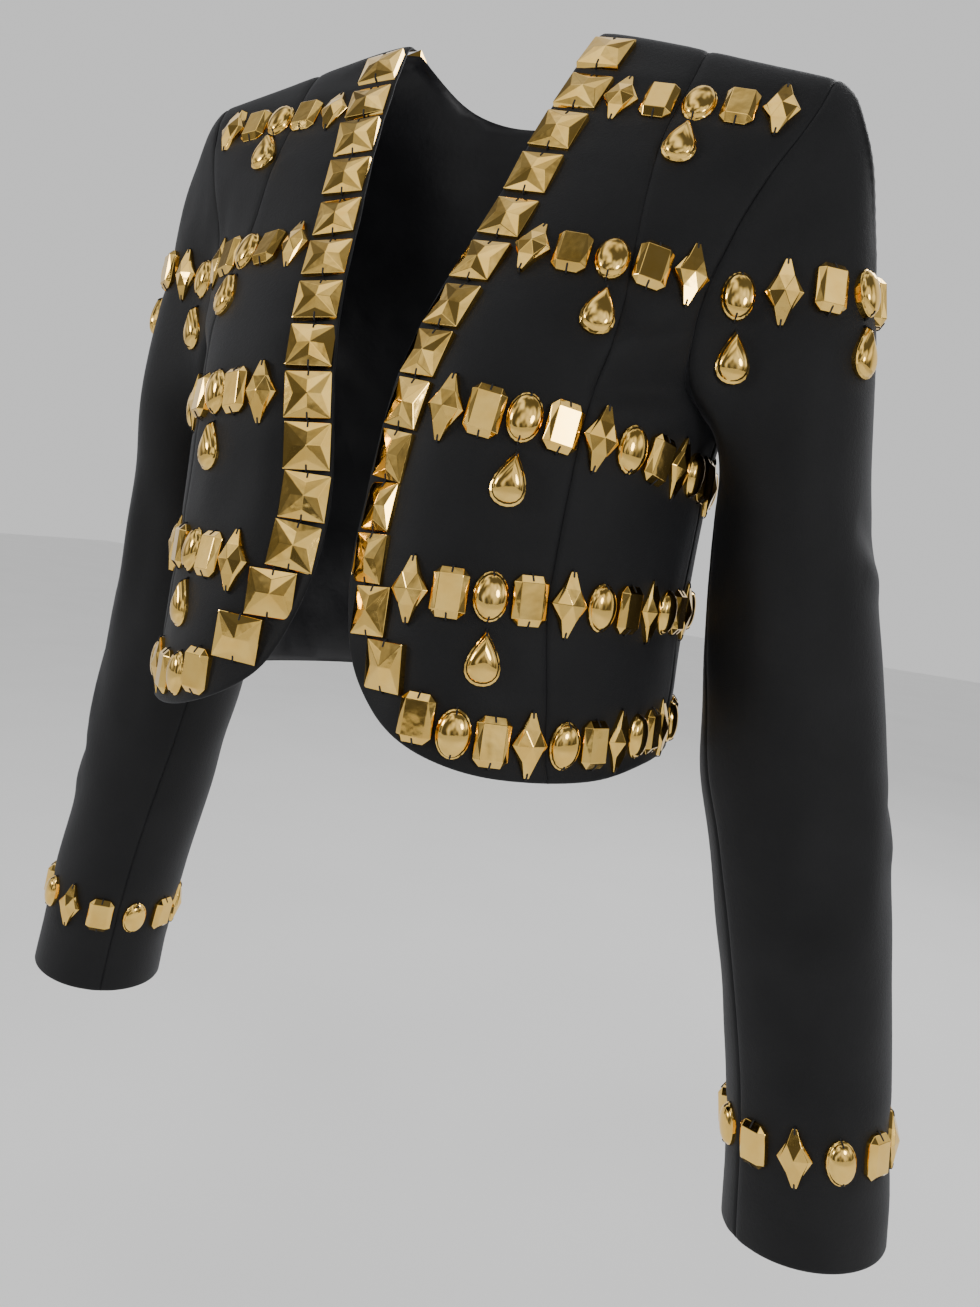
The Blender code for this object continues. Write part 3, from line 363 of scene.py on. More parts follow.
def armhole_ways(around):
    """Armhole points with the way on from the torso's cloth."""
    torso = Torso()
    flat = armhole_flat(around)
    step = 0.002
    along = unit(torso.point(armhole_flat(around + step)) - torso.point(armhole_flat(around - step)))
    return torso.point(flat), unit(np.cross(torso.normal(flat), along))


def cap_length(around):
    around = np.atleast_1d(np.asarray(around, float))
    start = Torso().point(armhole_flat(around))
    return np.linalg.norm(arm_point(around, np.zeros_like(around)) - start, axis=-1)


def sleeve_bare(around, along):
    """Sleeve cloth without its folds; along is negative on the cap, above the upper arm."""
    shape = np.broadcast(around, along).shape
    around = np.broadcast_to(np.asarray(around, float), shape).ravel()
    along = np.broadcast_to(np.asarray(along, float), shape).ravel()
    result = arm_point(around, np.maximum(along, 0))
    cap = along < 0
    if cap.any():
        side, run = around[cap], along[cap]
        start, away = armhole_ways(side)
        end = arm_point(side, np.zeros_like(side))
        length = cap_length(side)
        heading = unit(arm_point(side, np.full_like(side, 0.004)) - end)
        over = (0.5 + 0.5 * np.cos(side * 2 * math.pi)) ** 0.6
        droop = unit(np.array([1.0, 0.0, -1.0]))
        leave = unit(away * over[:, None] + droop * (1 - over)[:, None])
        reach = np.minimum(length * CAP_START, HEAD_REACH)[:, None]
        first = start + leave * reach
        second = end - heading * length[:, None] * CAP_END
        t = np.clip(1 + run / length, 0, None)[:, None]
        result[cap] = ((1 - t) ** 3 * start + 3 * t * (1 - t) ** 2 * first
                       + 3 * t ** 2 * (1 - t) * second + t ** 3 * end)
    return result.reshape(shape + (3,))


def sleeve_point(around, along):
    around = np.asarray(around, float)
    along = np.asarray(along, float)
    bare = sleeve_bare(around, along)
    normal = surface_normal(sleeve_bare, around, along, ROUND_STEP, DOWN_STEP)
    length = cap_length(around.ravel()).reshape(around.shape)
    fade = np.clip((along + length) / FOLD_FADE_TOP, 0, 1) ** 2
    fade = fade * np.clip((ARM_LENGTH - along) / FOLD_FADE_CUFF, 0, 1)
    return bare + normal * (sleeve_fold(around, along) * fade)[..., None]


class Sleeve:
    """The sleeve's cloth over a flat pattern of (around * AROUND, along)."""

    def point(self, flat):
        return sleeve_point(flat[..., 0] / AROUND, flat[..., 1])

    def normal(self, flat):
        around = flat[..., 0] / AROUND
        first = np.maximum(flat[..., 1], 0.0012 - cap_length(around.ravel()).reshape(around.shape))
        return surface_normal(sleeve_bare, around, first, ROUND_STEP, DOWN_STEP)


def arc_curve(surface, flats):
    return run_along(surface.point(flats))


def on_curve(surface, flats, distances):
    """Places at these distances along a curve on the pattern, with the curve's heading."""
    run = arc_curve(surface, flats)
    distances = np.asarray(distances)
    ahead = along_line(distances + HEADING_STEP, run, flats)
    behind = along_line(distances - HEADING_STEP, run, flats)
    return along_line(distances, run, flats), surface.point(ahead) - surface.point(behind)


def inset(flats, amount):
    """The closed outline moved inward; counterclockwise outlines only."""
    ahead = unit(np.roll(flats, -1, axis=0) - flats)
    behind = np.roll(ahead, 1, axis=0)
    left_ahead = np.stack([-ahead[:, 1], ahead[:, 0]], axis=-1)
    left_behind = np.stack([-behind[:, 1], behind[:, 0]], axis=-1)
    middle = unit(left_ahead + left_behind)
    widen = 1 / np.maximum(np.sum(middle * left_ahead, axis=-1), 0.5)
    return flats + middle * (widen * amount)[:, None]


def inside_outline(points, outline):
    """True for the points inside a closed outline."""
    inside = np.zeros(len(points), bool)
    for start, end in zip(outline, np.roll(outline, -1, axis=0)):
        crosses = (start[1] > points[:, 1]) != (end[1] > points[:, 1])
        rise = end[1] - start[1] if end[1] != start[1] else 1e-12
        x = start[0] + (points[:, 1] - start[1]) * (end[0] - start[0]) / rise
        inside ^= crosses & (points[:, 0] < x)
    return inside


def to_segment(points, start, end):
    """Distance of each point from a straight piece of line, and its share along that piece."""
    way = end - start
    share = np.clip(((points - start) @ way) / max(way @ way, 1e-14), 0, 1)
    return np.linalg.norm(points - start - share[:, None] * way, axis=1), share


def distance_to_outline(points, outline, chosen=None):
    """Distance from a closed outline, or from the chosen ones of its pieces."""
    nearest = np.full(len(points), np.inf)
    for number, (start, end) in enumerate(zip(outline, np.roll(outline, -1, axis=0))):
        if chosen is None or chosen[number]:
            nearest = np.minimum(nearest, to_segment(points, start, end)[0])
    return nearest


def fill_points(outline, spacing):
    """Staggered points inside the outline."""
    low, high = outline.min(axis=0), outline.max(axis=0)
    points = []
    for index, height in enumerate(np.arange(low[1] + spacing * 0.5, high[1], spacing)):
        shift = spacing * (0.25 if index % 2 else 0.75)
        points += [(x, height) for x in np.arange(low[0] + shift, high[0], spacing)]
    points = np.array(points)
    points = points[inside_outline(points, outline)]
    return points[distance_to_outline(points, outline) > spacing * 0.5]


def triangulate(outline, inner_points):
    """Triangles over the flat pattern, whose edges follow the outline."""
    count = len(outline)
    edges = [(k, (k + 1) % count) for k in range(count)]
    places = [tuple(place) for place in np.concatenate([outline, inner_points]).tolist()]
    made, _, faces, original, _, _ = delaunay_2d_cdt(places, edges, [list(range(count))], 1, 1e-7)
    if len(made) != len(places):
        raise ValueError("the outline crosses itself: %d points became %d" % (len(places), len(made)))
    return [[original[k][0] for k in face] for face in faces]


def facing(surface, outline):
    """Positive where a counterclockwise triangle of the pattern faces outward."""
    middle = outline.mean(axis=0)[None]
    first = surface.point(middle + [0.001, 0])[0] - surface.point(middle)[0]
    second = surface.point(middle + [0, 0.001])[0] - surface.point(middle)[0]
    return float(np.cross(first, second) @ surface.normal(middle)[0])


def spaced(line):
    """Even points on a flat line, both ends included."""
    run = run_along(line)
    count = max(1, round(run[-1] / OUTER_STEP))
    return along_line(np.linspace(0, run[-1], count + 1), run, line)


def torso_line(points, samples, back=False):
    """A smooth outline given by x and z in centimetres, on the torso's flat pattern."""
    points = np.array(points) * CM
    run = run_along(points)
    fine = natural_spline(run, points, np.linspace(0, run[-1], samples))
    return torso_flat(fine[:, 0], fine[:, 1], back)


def row_frame(surface, flat, heading):
    """At a place on the pattern: the way out of the cloth, along the row and across it."""
    normal = surface.normal(flat[None])[0]
    first = unit(heading - normal * (heading @ normal))
    return normal, first, np.cross(normal, first)


def above(surface, flat, heading, distance):
    """The place on the pattern this far above a place, in the frame of its row."""
    second = row_frame(surface, flat, heading)[2]
    return flat + np.linalg.pinv(pattern_slopes(surface, flat)) @ (second * distance)


def leaning(heading, lean):
    """The heading of a stone that stands upright but for this slope."""
    flat_way = heading * [1, 1, 0]
    return flat_way - [0, 0, lean * np.linalg.norm(flat_way)]


def row_stones(surface, line, letters, distances, drops=(), lean=0.0):
    """Stones along a row's line, each as kind, place and heading, drops included. They stand
    upright, or lean by this slope, or follow the line where lean is None."""
    stones = []
    for number, (letter, flat, heading) in enumerate(zip(letters, *on_curve(surface, line, distances))):
        if lean is not None:
            heading = leaning(heading, lean)
        stones.append((LETTERS[letter], flat, heading))
        if number in drops:
            stones.append(("drop", above(surface, flat, heading, -DROP_BELOW), heading))
    return stones


def torso_row(front_heights, back_heights, start_x):
    """The two lines of a row, from the front edge to the side and on to the middle of the
    back. Heights are pairs of distance from the middle and height, in centimetres."""
    lines = []
    for back, heights in ((False, front_heights), (True, back_heights)):
        table = np.array(heights) * CM
        widest = torso_point(1.0, torso_place(0.15, table[-1, 1], back)[0, 1])[0]
        quarter = np.linspace(0, math.pi / 2, LINE_STEPS)
        x = widest * np.cos(quarter) if back else start_x + (widest - start_x) * np.sin(quarter)
        flats = torso_flat(x, natural_spline(table[:, 0], table[:, 1], x), back)
        flats[0 if back else -1, 0] = ACROSS
        lines.append(flats)
    return lines


def smooth_down(points):
    """A smooth line down the torso's pattern through the points."""
    points = np.array(points)
    downs = np.linspace(points[0, 1], points[-1, 1], LINE_STEPS)
    return np.stack([natural_spline(points[:, 1], points[:, 0], downs), downs], axis=-1)


def sleeve_seam(top, cuff):
    """A sleeve seam on the pattern, from the armhole to the cuff."""
    cap = cap_length(top)[0]
    along = np.linspace(-cap, ARM_LENGTH, LINE_STEPS)
    share = np.clip((along + cap) / (0.78 * (ARM_LENGTH + cap)), 0, 1)
    share = share * share * (3 - 2 * share)
    return np.stack([(top + (cuff - top) * share) * AROUND, along], axis=-1)


# Creases of the torso, as a line of places in centimetres (distance from the middle and
# height), then half width and height of the trough or ridge in millimetres.
TORSO_CREASES_LEFT = (
    (((11.6, -21.3), (13.8, -20.5), (16.4, -19.6)), 11, -5.0),
    (((10.8, -19.4), (13.0, -18.4), (15.6, -17.4)), 8, 2.2),
    (((14.6, -15.9), (13.9, -17.6), (13.4, -19.0)), 7, -1.0),
    (((7.6, -25.4), (7.9, -28.0), (7.6, -30.6)), 12, 1.0),
    (((9.8, -25.6), (10.1, -28.0), (9.9, -30.4)), 13, -1.0),
    (((4.6, -30.0), (4.2, -32.5), (4.8, -35.4)), 12, -0.9),
    (((9.6, -16.4), (10.6, -19.0), (11.2, -21.4)), 14, -0.9),
    (((16.8, -8.4), (15.9, -11.2), (15.4, -13.4)), 8, -0.9),
    (((10.6, -33.6), (11.4, -36.0), (11.2, -37.6)), 12, 0.9),
)
TORSO_CREASES_RIGHT = (
    (((12.4, -21.6), (14.4, -20.4), (16.2, -19.4)), 12, -3.8),
    (((11.8, -19.8), (13.8, -18.6), (15.6, -17.4)), 9, 1.2),
    (((8.4, -25.2), (8.6, -28.0), (8.2, -30.8)), 12, 1.1),
    (((6.4, -25.6), (6.2, -28.2), (6.6, -30.6)), 10, -0.8),
    (((15.2, -8.6), (15.6, -11.4), (15.2, -13.6)), 8, -1.0),
    (((10.4, -33.4), (11.0, -35.6), (11.6, -37.4)), 12, -1.0),
)
BACK_CREASES_LEFT = (
    (((2.0, -9.6), (6.0, -10.4), (12.6, -10.9)), 16, -1.0),
    (((15.4, -16.6), (13.2, -19.4), (10.0, -21.6)), 14, -2.2),
    (((15.8, -19.4), (13.4, -21.6), (10.6, -22.8)), 10, 1.3),
    (((5.0, -26.6), (4.6, -28.6), (5.2, -30.0)), 14, 1.0),
    (((11.0, -33.2), (10.6, -35.0), (11.2, -36.4)), 14, -1.1),
    (((2.2, -17.2), (4.8, -18.8), (8.0, -21.6)), 16, -1.0),
)
BACK_CREASES_RIGHT = (
    (((2.4, -9.8), (6.4, -10.2), (12.2, -10.4)), 15, -0.9),
    (((15.6, -16.2), (13.6, -18.8), (10.8, -21.2)), 13, -1.9),
    (((15.8, -18.8), (13.8, -20.8), (11.4, -22.4)), 10, 1.2),
    (((4.4, -26.8), (4.9, -28.4), (4.6, -30.2)), 13, -0.9),
    (((10.6, -33.4), (11.2, -35.0), (10.8, -36.2)), 14, 1.0),
    (((2.6, -17.8), (5.4, -19.0), (8.4, -21.0)), 15, -1.0),
)

# Creases of a sleeve, as a line of places (share of the way round, centimetres down from
# the upper arm), then half width and height in millimetres.
SLEEVE_CREASES_LEFT = (
    (((0.985, -19.5), (0.06, -16.5), (0.14, -13.4)), 16, -1.8),
    (((0.12, -19.2), (0.14, -17.2), (0.19, -15.2)), 6, 0.7),
    (((0.20, -17.6), (0.22, -15.8), (0.25, -14.2)), 6, -0.8),
    (((0.17, -18.6), (0.19, -16.6), (0.23, -14.8)), 5, 0.6),
    (((0.96, 2.2), (0.02, 1.2), (0.09, 0.2)), 11, -2.6),
    (((0.95, 4.6), (0.02, 3.4), (0.08, 2.6)), 9, 1.4),
    (((0.13, 13.6), (0.18, 19.0), (0.24, 26.0)), 15, -2.4),
    (((0.06, 14.5), (0.10, 20.0), (0.15, 27.0)), 15, 1.2),
    (((0.30, 25.0), (0.25, 27.5), (0.20, 29.0)), 12, -1.4),
    (((0.94, 17.4), (0.985, 17.0), (0.03, 17.8)), 8, -1.2),
    (((0.94, 20.2), (0.99, 19.6), (0.04, 20.4)), 9, 0.9),
    (((0.36, 1.5), (0.33, 5.5), (0.28, 9.5)), 13, -1.6),
    (((0.44, 2.5), (0.40, 7.0), (0.34, 12.0)), 12, 1.2),
    (((0.62, 0.5), (0.70, 3.5), (0.78, 5.0)), 13, -2.0),
    (((0.64, 14.0), (0.72, 16.6), (0.80, 17.4)), 12, 1.8),
    (((0.62, 18.5), (0.70, 19.8), (0.78, 19.6)), 11, -2.2),
    (((0.60, 22.0), (0.68, 22.6), (0.76, 21.8)), 11, 1.4),
)
SLEEVE_CREASES_RIGHT = (
    (((0.99, -19.0), (0.06, -16.0), (0.13, -13.0)), 14, -1.6),
    (((0.20, -18.2), (0.24, -15.4), (0.27, -12.0)), 8, -1.5),
    (((0.16, -18.0), (0.19, -15.0), (0.22, -12.0)), 7, 0.9),
    (((0.20, 0.5), (0.19, 8.0), (0.17, 15.0)), 10, 1.9),
    (((0.27, 1.5), (0.25, 8.5), (0.23, 14.0)), 12, -1.5),
    (((0.10, 1.0), (0.11, 7.0), (0.11, 12.0)), 12, -1.4),
    (((0.09, 16.5), (0.12, 20.0), (0.13, 23.0)), 10, 2.0),
    (((0.04, 23.6), (0.10, 24.6), (0.17, 24.4)), 10, -2.2),
    (((0.03, 27.4), (0.09, 27.8), (0.16, 26.6)), 11, 1.6),
    (((0.30, 15.0), (0.28, 18.5), (0.30, 22.0)), 12, -1.6),
    (((0.64, 13.0), (0.72, 15.6), (0.80, 16.4)), 12, 1.8),
    (((0.62, 17.5), (0.70, 18.8), (0.78, 18.6)), 11, -2.2),
    (((0.62, 0.5), (0.70, 3.5), (0.78, 5.0)), 13, -2.0),
    (((0.44, 2.5), (0.40, 7.0), (0.34, 12.0)), 12, 1.2),
)

MM = 0.001
OUTER_STEP = 0.0034      # spacing of the outer cloth's points
LINING_STEP = 0.0075
PANEL_INSET = 0.00004    # half the gap that is left between two cloth pieces
EDGE_RINGS = (0.0005, 0.0013, 0.0028)  # closer rings of points along a piece's edges
EDGE_ROUND = 0.0016      # width that a free edge is rounded off over
GROOVE_DEPTH = 0.00085   # of a seam, and half its width
GROOVE_WIDTH = 0.0011
ALLOWANCE_RISE = 0.00016  # of the cloth over a seam's allowance
ALLOWANCE_PLACE = 0.006  # the allowance's distance from the seam, and half its width
ALLOWANCE_WIDTH = 0.0035
LINING_EDGE = 0.10       # depth of the lining at a piece's edge, as a share of the wall
THINNEST = 0.08          # least height of the face over the middle, as such a share
TORSO_WAVES = 0.0004     # height of the cloth's low unevenness
SLEEVE_WAVES = 0.0005
WAVE_COUNT = 10
WAVE_LENGTHS = (0.035, 0.11)
USUAL_WAVE = 0.08        # length of a wave that has the stated height
FRONT_SEED = 3           # of the waves of the left pieces; the right ones take the next
BACK_SEED = 11
SLEEVE_SEED = 21
PUCKER_DEPTH = 0.0007    # of the cloth round a stone, and half the trough's width
PUCKER_WIDTH = 0.006
PUCKER_REACH = 0.04      # beyond which the cloth is left as it is
BEVEL = 0.00016          # of a stone's facets
STONE_SUNK = 0.0004      # depth of a stone's foot in the cloth
STONE_TILT = 0.032       # usual lean of a stone on its threads, as a slope
HOLE_FROM_RIM = 0.0032
THREAD_WIDE = 0.00052    # half width and half height of a bundle of thread
THREAD_HIGH = 0.00034
THREAD_SIDES = 6
THREAD_LIFT = 0.00012    # of the thread's middle over the stone's face
HOLE_DEPTH = 0.0005
THREAD_TURN = 0.0007     # past the rim, where the thread turns down, and where it ends
THREAD_END = 0.0010


def crease_lines(table, place):
    """The table's lines as points on a pattern, with width and height in metres."""
    lines = []
    for points, width, height in table:
        flats = place(np.array(points))
        fine = natural_spline(np.linspace(0, 1, 3), flats, np.linspace(0, 1, 13))
        lines.append((fine, width * MM, height * MM))
    return lines


def place_front(points):
    return torso_flat(*(points * CM).T)


def place_back(points):
    return torso_flat(*(points * CM).T, True)


def place_sleeve(points):
    over_top = points[:, 0].max() > 0.9
    around = (points[:, 0] + 0.5) % 1.0 - 0.5 if over_top else points[:, 0]
    return np.stack([around * AROUND, points[:, 1] * CM], axis=-1)


def crease_height(flats, lines, shifts=(0.0,)):
    """Height of all creases over places on the pattern, repeated at each shift round it."""
    height = np.zeros(len(flats))
    for line, width, size in lines:
        low, high = line.min(axis=0) - 3 * width, line.max(axis=0) + 3 * width
        for shift in shifts:
            moved = flats - [shift, 0.0]
            near = np.all((moved > low) & (moved < high), axis=1)
            if not near.any():
                continue
            points = moved[near]
            found = [to_segment(points, start, end) for start, end in zip(line, line[1:])]
            distances, shares = np.array(found).swapaxes(0, 1)
            best = distances.argmin(axis=0)
            along = (best + shares[best, np.arange(len(points))]) / (len(line) - 1)
            taper = np.sin(np.clip(along, 0.02, 0.98) * math.pi) ** 0.8
            height[near] += size * taper * np.exp(-(distances.min(axis=0) / width) ** 2)
    return height


def soft_waves(flats, seed, size):
    """Low unevenness of a hanging cloth, made of a few broad waves."""
    rng = np.random.default_rng(seed)
    height = np.zeros(len(flats))
    for _ in range(WAVE_COUNT):
        angle = rng.uniform(0, math.pi)
        length = rng.uniform(*WAVE_LENGTHS)
        phase = rng.uniform(0, 2 * math.pi)
        along = flats[:, 0] * math.cos(angle) + flats[:, 1] * math.sin(angle)
        height += np.sin(along / length * 2 * math.pi + phase) * size * length / USUAL_WAVE
    return height / 3


def pucker(flats, stones):
    """The cloth draws in a little round each stone that is sewn to it."""
    height = np.zeros(len(flats))
    for kind, place, _ in stones:
        reach = (STONES[kind][2] + 0.004) * 0.6
        distance = np.linalg.norm(flats - place, axis=1)
        dent = PUCKER_DEPTH * np.exp(-((distance - reach) / PUCKER_WIDTH) ** 2)
        height -= dent * (distance < PUCKER_REACH)
    return height


def face_heights(flats, outline, free):
    """Height of the cloth's face over its middle: rounded off along the outline's free pieces,
    with a groove along its seams and a slight rise where the allowance lies under them."""
    spans = np.roll(free, -1) & free
    to_free = np.minimum(distance_to_outline(flats, outline, spans), 1.0)
    to_seam = np.minimum(distance_to_outline(flats, outline, ~spans), 1.0)
    share = np.clip(to_free / EDGE_ROUND, 0, 1)
    rounded = WALL / 2 * np.sqrt(np.clip(1 - (1 - share) ** 2, 0.04, 1))
    groove = GROOVE_DEPTH * np.exp(-(to_seam / GROOVE_WIDTH) ** 2)
    allowance = ALLOWANCE_RISE * np.exp(-((to_seam - ALLOWANCE_PLACE) / ALLOWANCE_WIDTH) ** 2)
    return np.maximum(rounded - groove + allowance, WALL * THINNEST)


def add_thing(name, data):
    thing = bpy.data.objects.new(name, data)
    bpy.context.scene.collection.objects.link(thing)
    return thing


def add_mesh(name, points, faces, materials, slots, smooth):
    mesh = bpy.data.meshes.new(name)
    mesh.from_pydata(np.asarray(points).tolist(), [], faces)
    for material in materials:
        mesh.materials.append(material)
    mesh.polygons.foreach_set("material_index", slots)
    mesh.polygons.foreach_set("use_smooth", smooth)
    mesh.update()
    return add_thing(name, mesh)


def cloth_shell(name, surface, pieces, height, materials, mirrored):
    """A closed shell of one cloth piece, with its face outside and its lining inside."""
    outline = np.concatenate([line[:-1] for line, _ in pieces])
    free = np.concatenate([np.full(len(line) - 1, is_free) for line, is_free in pieces])
    after = np.roll(outline, -1, axis=0)
    if np.sum(outline[:, 0] * after[:, 1] - after[:, 0] * outline[:, 1]) < 0:
        outline, free = outline[::-1], free[::-1]
    outline = inset(outline, PANEL_INSET)
    count = len(outline)

    fills = []
    for amount in EDGE_RINGS:
        ring = inset(outline, amount)
        clear = distance_to_outline(ring, outline) > amount * 0.8
        fills.append(ring[inside_outline(ring, outline) & clear])
    middle = fill_points(outline, OUTER_STEP)
    fills.append(middle[distance_to_outline(middle, outline) > EDGE_RINGS[-1] + OUTER_STEP * 0.45])
    fill = np.concatenate(fills)
    flats = np.concatenate([outline, fill])
    lift = face_heights(flats, outline, free) + height(flats)
    outer = surface.point(flats) + surface.normal(flats) * lift[:, None]
    faces = triangulate(outline, fill)

    first = len(outer)
    rim = [[(k + 1) % count, k, first + k, first + (k + 1) % count] for k in range(count)]

    fill = fill_points(outline, LINING_STEP)
    flats = np.concatenate([outline, fill])
    drop = np.full(len(flats), WALL / 2)
    drop[:count] = WALL * LINING_EDGE
    lining = surface.point(flats) + surface.normal(flats) * (height(flats) - drop)[:, None]
    inside = [[first + k for k in face[::-1]] for face in triangulate(outline, fill)]

    points = np.concatenate([outer, lining])
    everything = faces + rim + inside
    if (facing(surface, outline) < 0) != mirrored:
        everything = [face[::-1] for face in everything]
    if mirrored:
        points = points * [-1, 1, 1]
    slots = [0] * (len(faces) + count) + [1] * len(inside)
    return add_mesh(name, points, everything, materials, slots, [True] * len(everything))


def ring_faces(first, second, count):
    """Faces of the band between two rings of points."""
    return [[first + k, first + (k + 1) % count, second + (k + 1) % count, second + k]
            for k in range(count)]


def both_sides(right):
    """Points of the right side and then those of the left, on round the loop."""
    return right + [(-x, *rest) for x, *rest in right[::-1]]


def with_girdle(base, girdle):
    """A base outline on the cloth and again at the height of the girdle."""
    return [(x, y, 0.0) for x, y in base] + [(x, y, girdle) for x, y in base]


# Each stone is made as its points, its faces and the number of flat faces, which come first.
def square_stone():
    half, inner, rise = 0.0125, 0.0074, 0.0031
    points = with_girdle([(-half, -half), (half, -half), (half, half), (-half, half)], 0.0014)
    points += [(0, -inner, rise), (inner, 0, rise), (0, inner, rise), (-inner, 0, rise), (0, 0, 0.0043)]
    faces = ring_faces(0, 4, 4)
    for k in range(4):
        after = (k + 1) % 4
        faces += [[4 + k, 4 + after, 8 + k], [4 + k, 8 + k, 12], [8 + k, 4 + after, 12]]
    return points, faces, len(faces)


def emerald_stone():
    half_x, half_y, cut = 0.0090, 0.0126, 0.0036
    table_x, table_y, top = 0.0058, 0.0090, 0.0044
    right = [(half_x - cut, -half_y), (half_x, cut - half_y)]
    right += [(half_x, half_y - cut), (half_x - cut, half_y)]
    points = with_girdle(both_sides(right), 0.0014)
    points += both_sides([(table_x, -table_y, top), (table_x, table_y, top)])
    points += both_sides([(0.0080, 0, 0.0027)])
    faces = ring_faces(0, 8, 8)
    faces += [[16, 17, 18, 19], [15, 8, 16, 19], [11, 12, 18, 17]]
    faces += [[8, 9, 16], [10, 11, 17], [12, 13, 18], [14, 15, 19]]
    faces += [[9, 20, 16], [20, 10, 17], [16, 20, 17], [9, 10, 20]]
    faces += [[13, 21, 18], [21, 14, 19], [18, 21, 19], [13, 14, 21]]
    return points, faces, len(faces)


def lozenge_stone():
    right = [(0.0013, -0.0166), (0.0047, -0.0084), (0.0098, 0), (0.0047, 0.0084), (0.0013, 0.0166)]
    points = with_girdle(both_sides(right), 0.0013)
    # Inner points: over the four shoulders, beside the two side tips, and the apex.
    points += both_sides([(0.0040, -0.0080, 0.0031), (0.0076, 0, 0.0030), (0.0040, 0.0080, 0.0031)])
    points += [(0, 0, 0.0052)]
    faces = ring_faces(0, 10, 10)
    faces += [[19, 10, 20, 25], [14, 15, 23, 22]]
    faces += [[10, 11, 20], [11, 12, 21, 20], [12, 13, 22, 21], [13, 14, 22]]
    faces += [[15, 16, 23], [16, 17, 24, 23], [17, 18, 25, 24], [18, 19, 25]]
    faces += [[k, 20 + (k - 19) % 6, 26] for k in range(20, 26)]
    return points, faces, len(faces)


def dome_stone(outline, crown, rim_share, rim_height, rim_jag):
    """A smooth dome with a band of small flat facets round its rim."""
    count, steps = len(outline), 6
    outline = np.array(outline)
    turned = (outline + np.roll(outline, -1, axis=0)) / 2 * rim_share
    points = with_girdle(outline, 0.0010)
    points += [(x, y, rim_height * rim_jag[k % len(rim_jag)]) for k, (x, y) in enumerate(turned)]
    faces = ring_faces(0, count, count)
    previous = 2 * count
    for k in range(count):
        after = (k + 1) % count
        faces += [[count + k, count + after, previous + k], [count + after, previous + after, previous + k]]
    flat_faces = len(faces)
    for step in range(1, steps):
        turn = step / steps * math.pi / 2
        height = rim_height + (crown - rim_height) * math.sin(turn)
        points += [(x * math.cos(turn), y * math.cos(turn), height) for x, y in turned]
        faces += ring_faces(previous, previous + count, count)
        previous += count
    points.append((0, 0, crown))
    faces += [[previous + k, previous + (k + 1) % count, len(points) - 1] for k in range(count)]
    return points, faces, flat_faces


def oval_stone():
    angles = (np.arange(20) + 0.5) / 20 * 2 * math.pi
    outline = [(0.0089 * math.cos(angle), 0.0126 * math.sin(angle)) for angle in angles]
    return dome_stone(outline, 0.0058, 0.93, 0.0018, (1.0, 0.90, 1.04, 0.94))


def drop_stone():
    outline = []
    for angle in -math.pi / 2 + (np.arange(22) + 0.5) / 22 * 2 * math.pi:
        up = math.sin(angle)
        narrow = (0.5 * (1 - up)) ** 0.62 * 1.16
        outline.append((0.0089 * math.cos(angle) * narrow * 1.18, 0.0138 * up))
    return dome_stone(outline, 0.0058, 0.92, 0.0018, (1.0, 0.86, 1.06, 0.92))


# Each kind's maker, how far from its middle its thread goes over its rim, and half its height.
STONES = {
    "square": (square_stone, 0.0125, 0.0125),
    "emerald": (emerald_stone, 0.0126, 0.0127),
    "oval": (oval_stone, 0.0126, 0.0127),
    "lozenge": (lozenge_stone, 0.0166, 0.0168),
    "drop": (drop_stone, 0.0138, 0.0138),
}


def height_over(points, faces, y):
    """Height of a stone's face over a place on its middle line."""
    best = 0.0
    for face in faces:
        corners = np.array([points[k] for k in face], float)
        for a, b, c in zip([corners[0]] * len(face), corners[1:], corners[2:]):
            area = (b[0] - a[0]) * (c[1] - a[1]) - (c[0] - a[0]) * (b[1] - a[1])
            if abs(area) < 1e-12:
                continue
            u = (b[0] * (c[1] - y) - c[0] * (b[1] - y)) / area
            v = (c[0] * (a[1] - y) - a[0] * (c[1] - y)) / area
            if u >= -1e-6 and v >= -1e-6 and u + v <= 1 + 1e-6:
                best = max(best, u * a[2] + v * b[2] + (1 - u - v) * c[2])
    return best


def stitch(points, faces, reach, end):
    """A bundle of thread from a hole in the stone's face over its rim to the cloth."""
    inner = reach - HOLE_FROM_RIM
    path = []
    for share in np.linspace(0, 1, 5):
        y = end * (inner + (reach - inner) * share * 0.97)
        path.append((0.0, y, height_over(points, faces, y) + THREAD_LIFT))
    path[0] = (0.0, path[0][1], path[0][2] - HOLE_DEPTH)
    low = path[-1][2] * 0.6
    path += [(0.0, end * (reach + THREAD_TURN), low), (0.0, end * (reach + THREAD_END), 0.0)]
    path = np.array(path)
    last = len(path) - 1
    ring_points, ring_list = [], []
    for number, place in enumerate(path):
        ahead = unit(path[min(number + 1, last)] - path[max(number - 1, 0)])
        up = np.cross([1.0, 0, 0], ahead)
        thin = 0.55 if number == 0 else 1.0
        for k in range(THREAD_SIDES):
            angle = k / THREAD_SIDES * 2 * math.pi
            wide = np.array([THREAD_WIDE * thin * math.cos(angle), 0, 0])
            ring_points.append(place + wide + up * THREAD_HIGH * thin * math.sin(angle))
        if number < last:
            ring_list += ring_faces(number * THREAD_SIDES, (number + 1) * THREAD_SIDES, THREAD_SIDES)
    sides = range(THREAD_SIDES)
    ring_list += [list(sides)[::-1], [last * THREAD_SIDES + k for k in sides]]
    return ring_points, ring_list


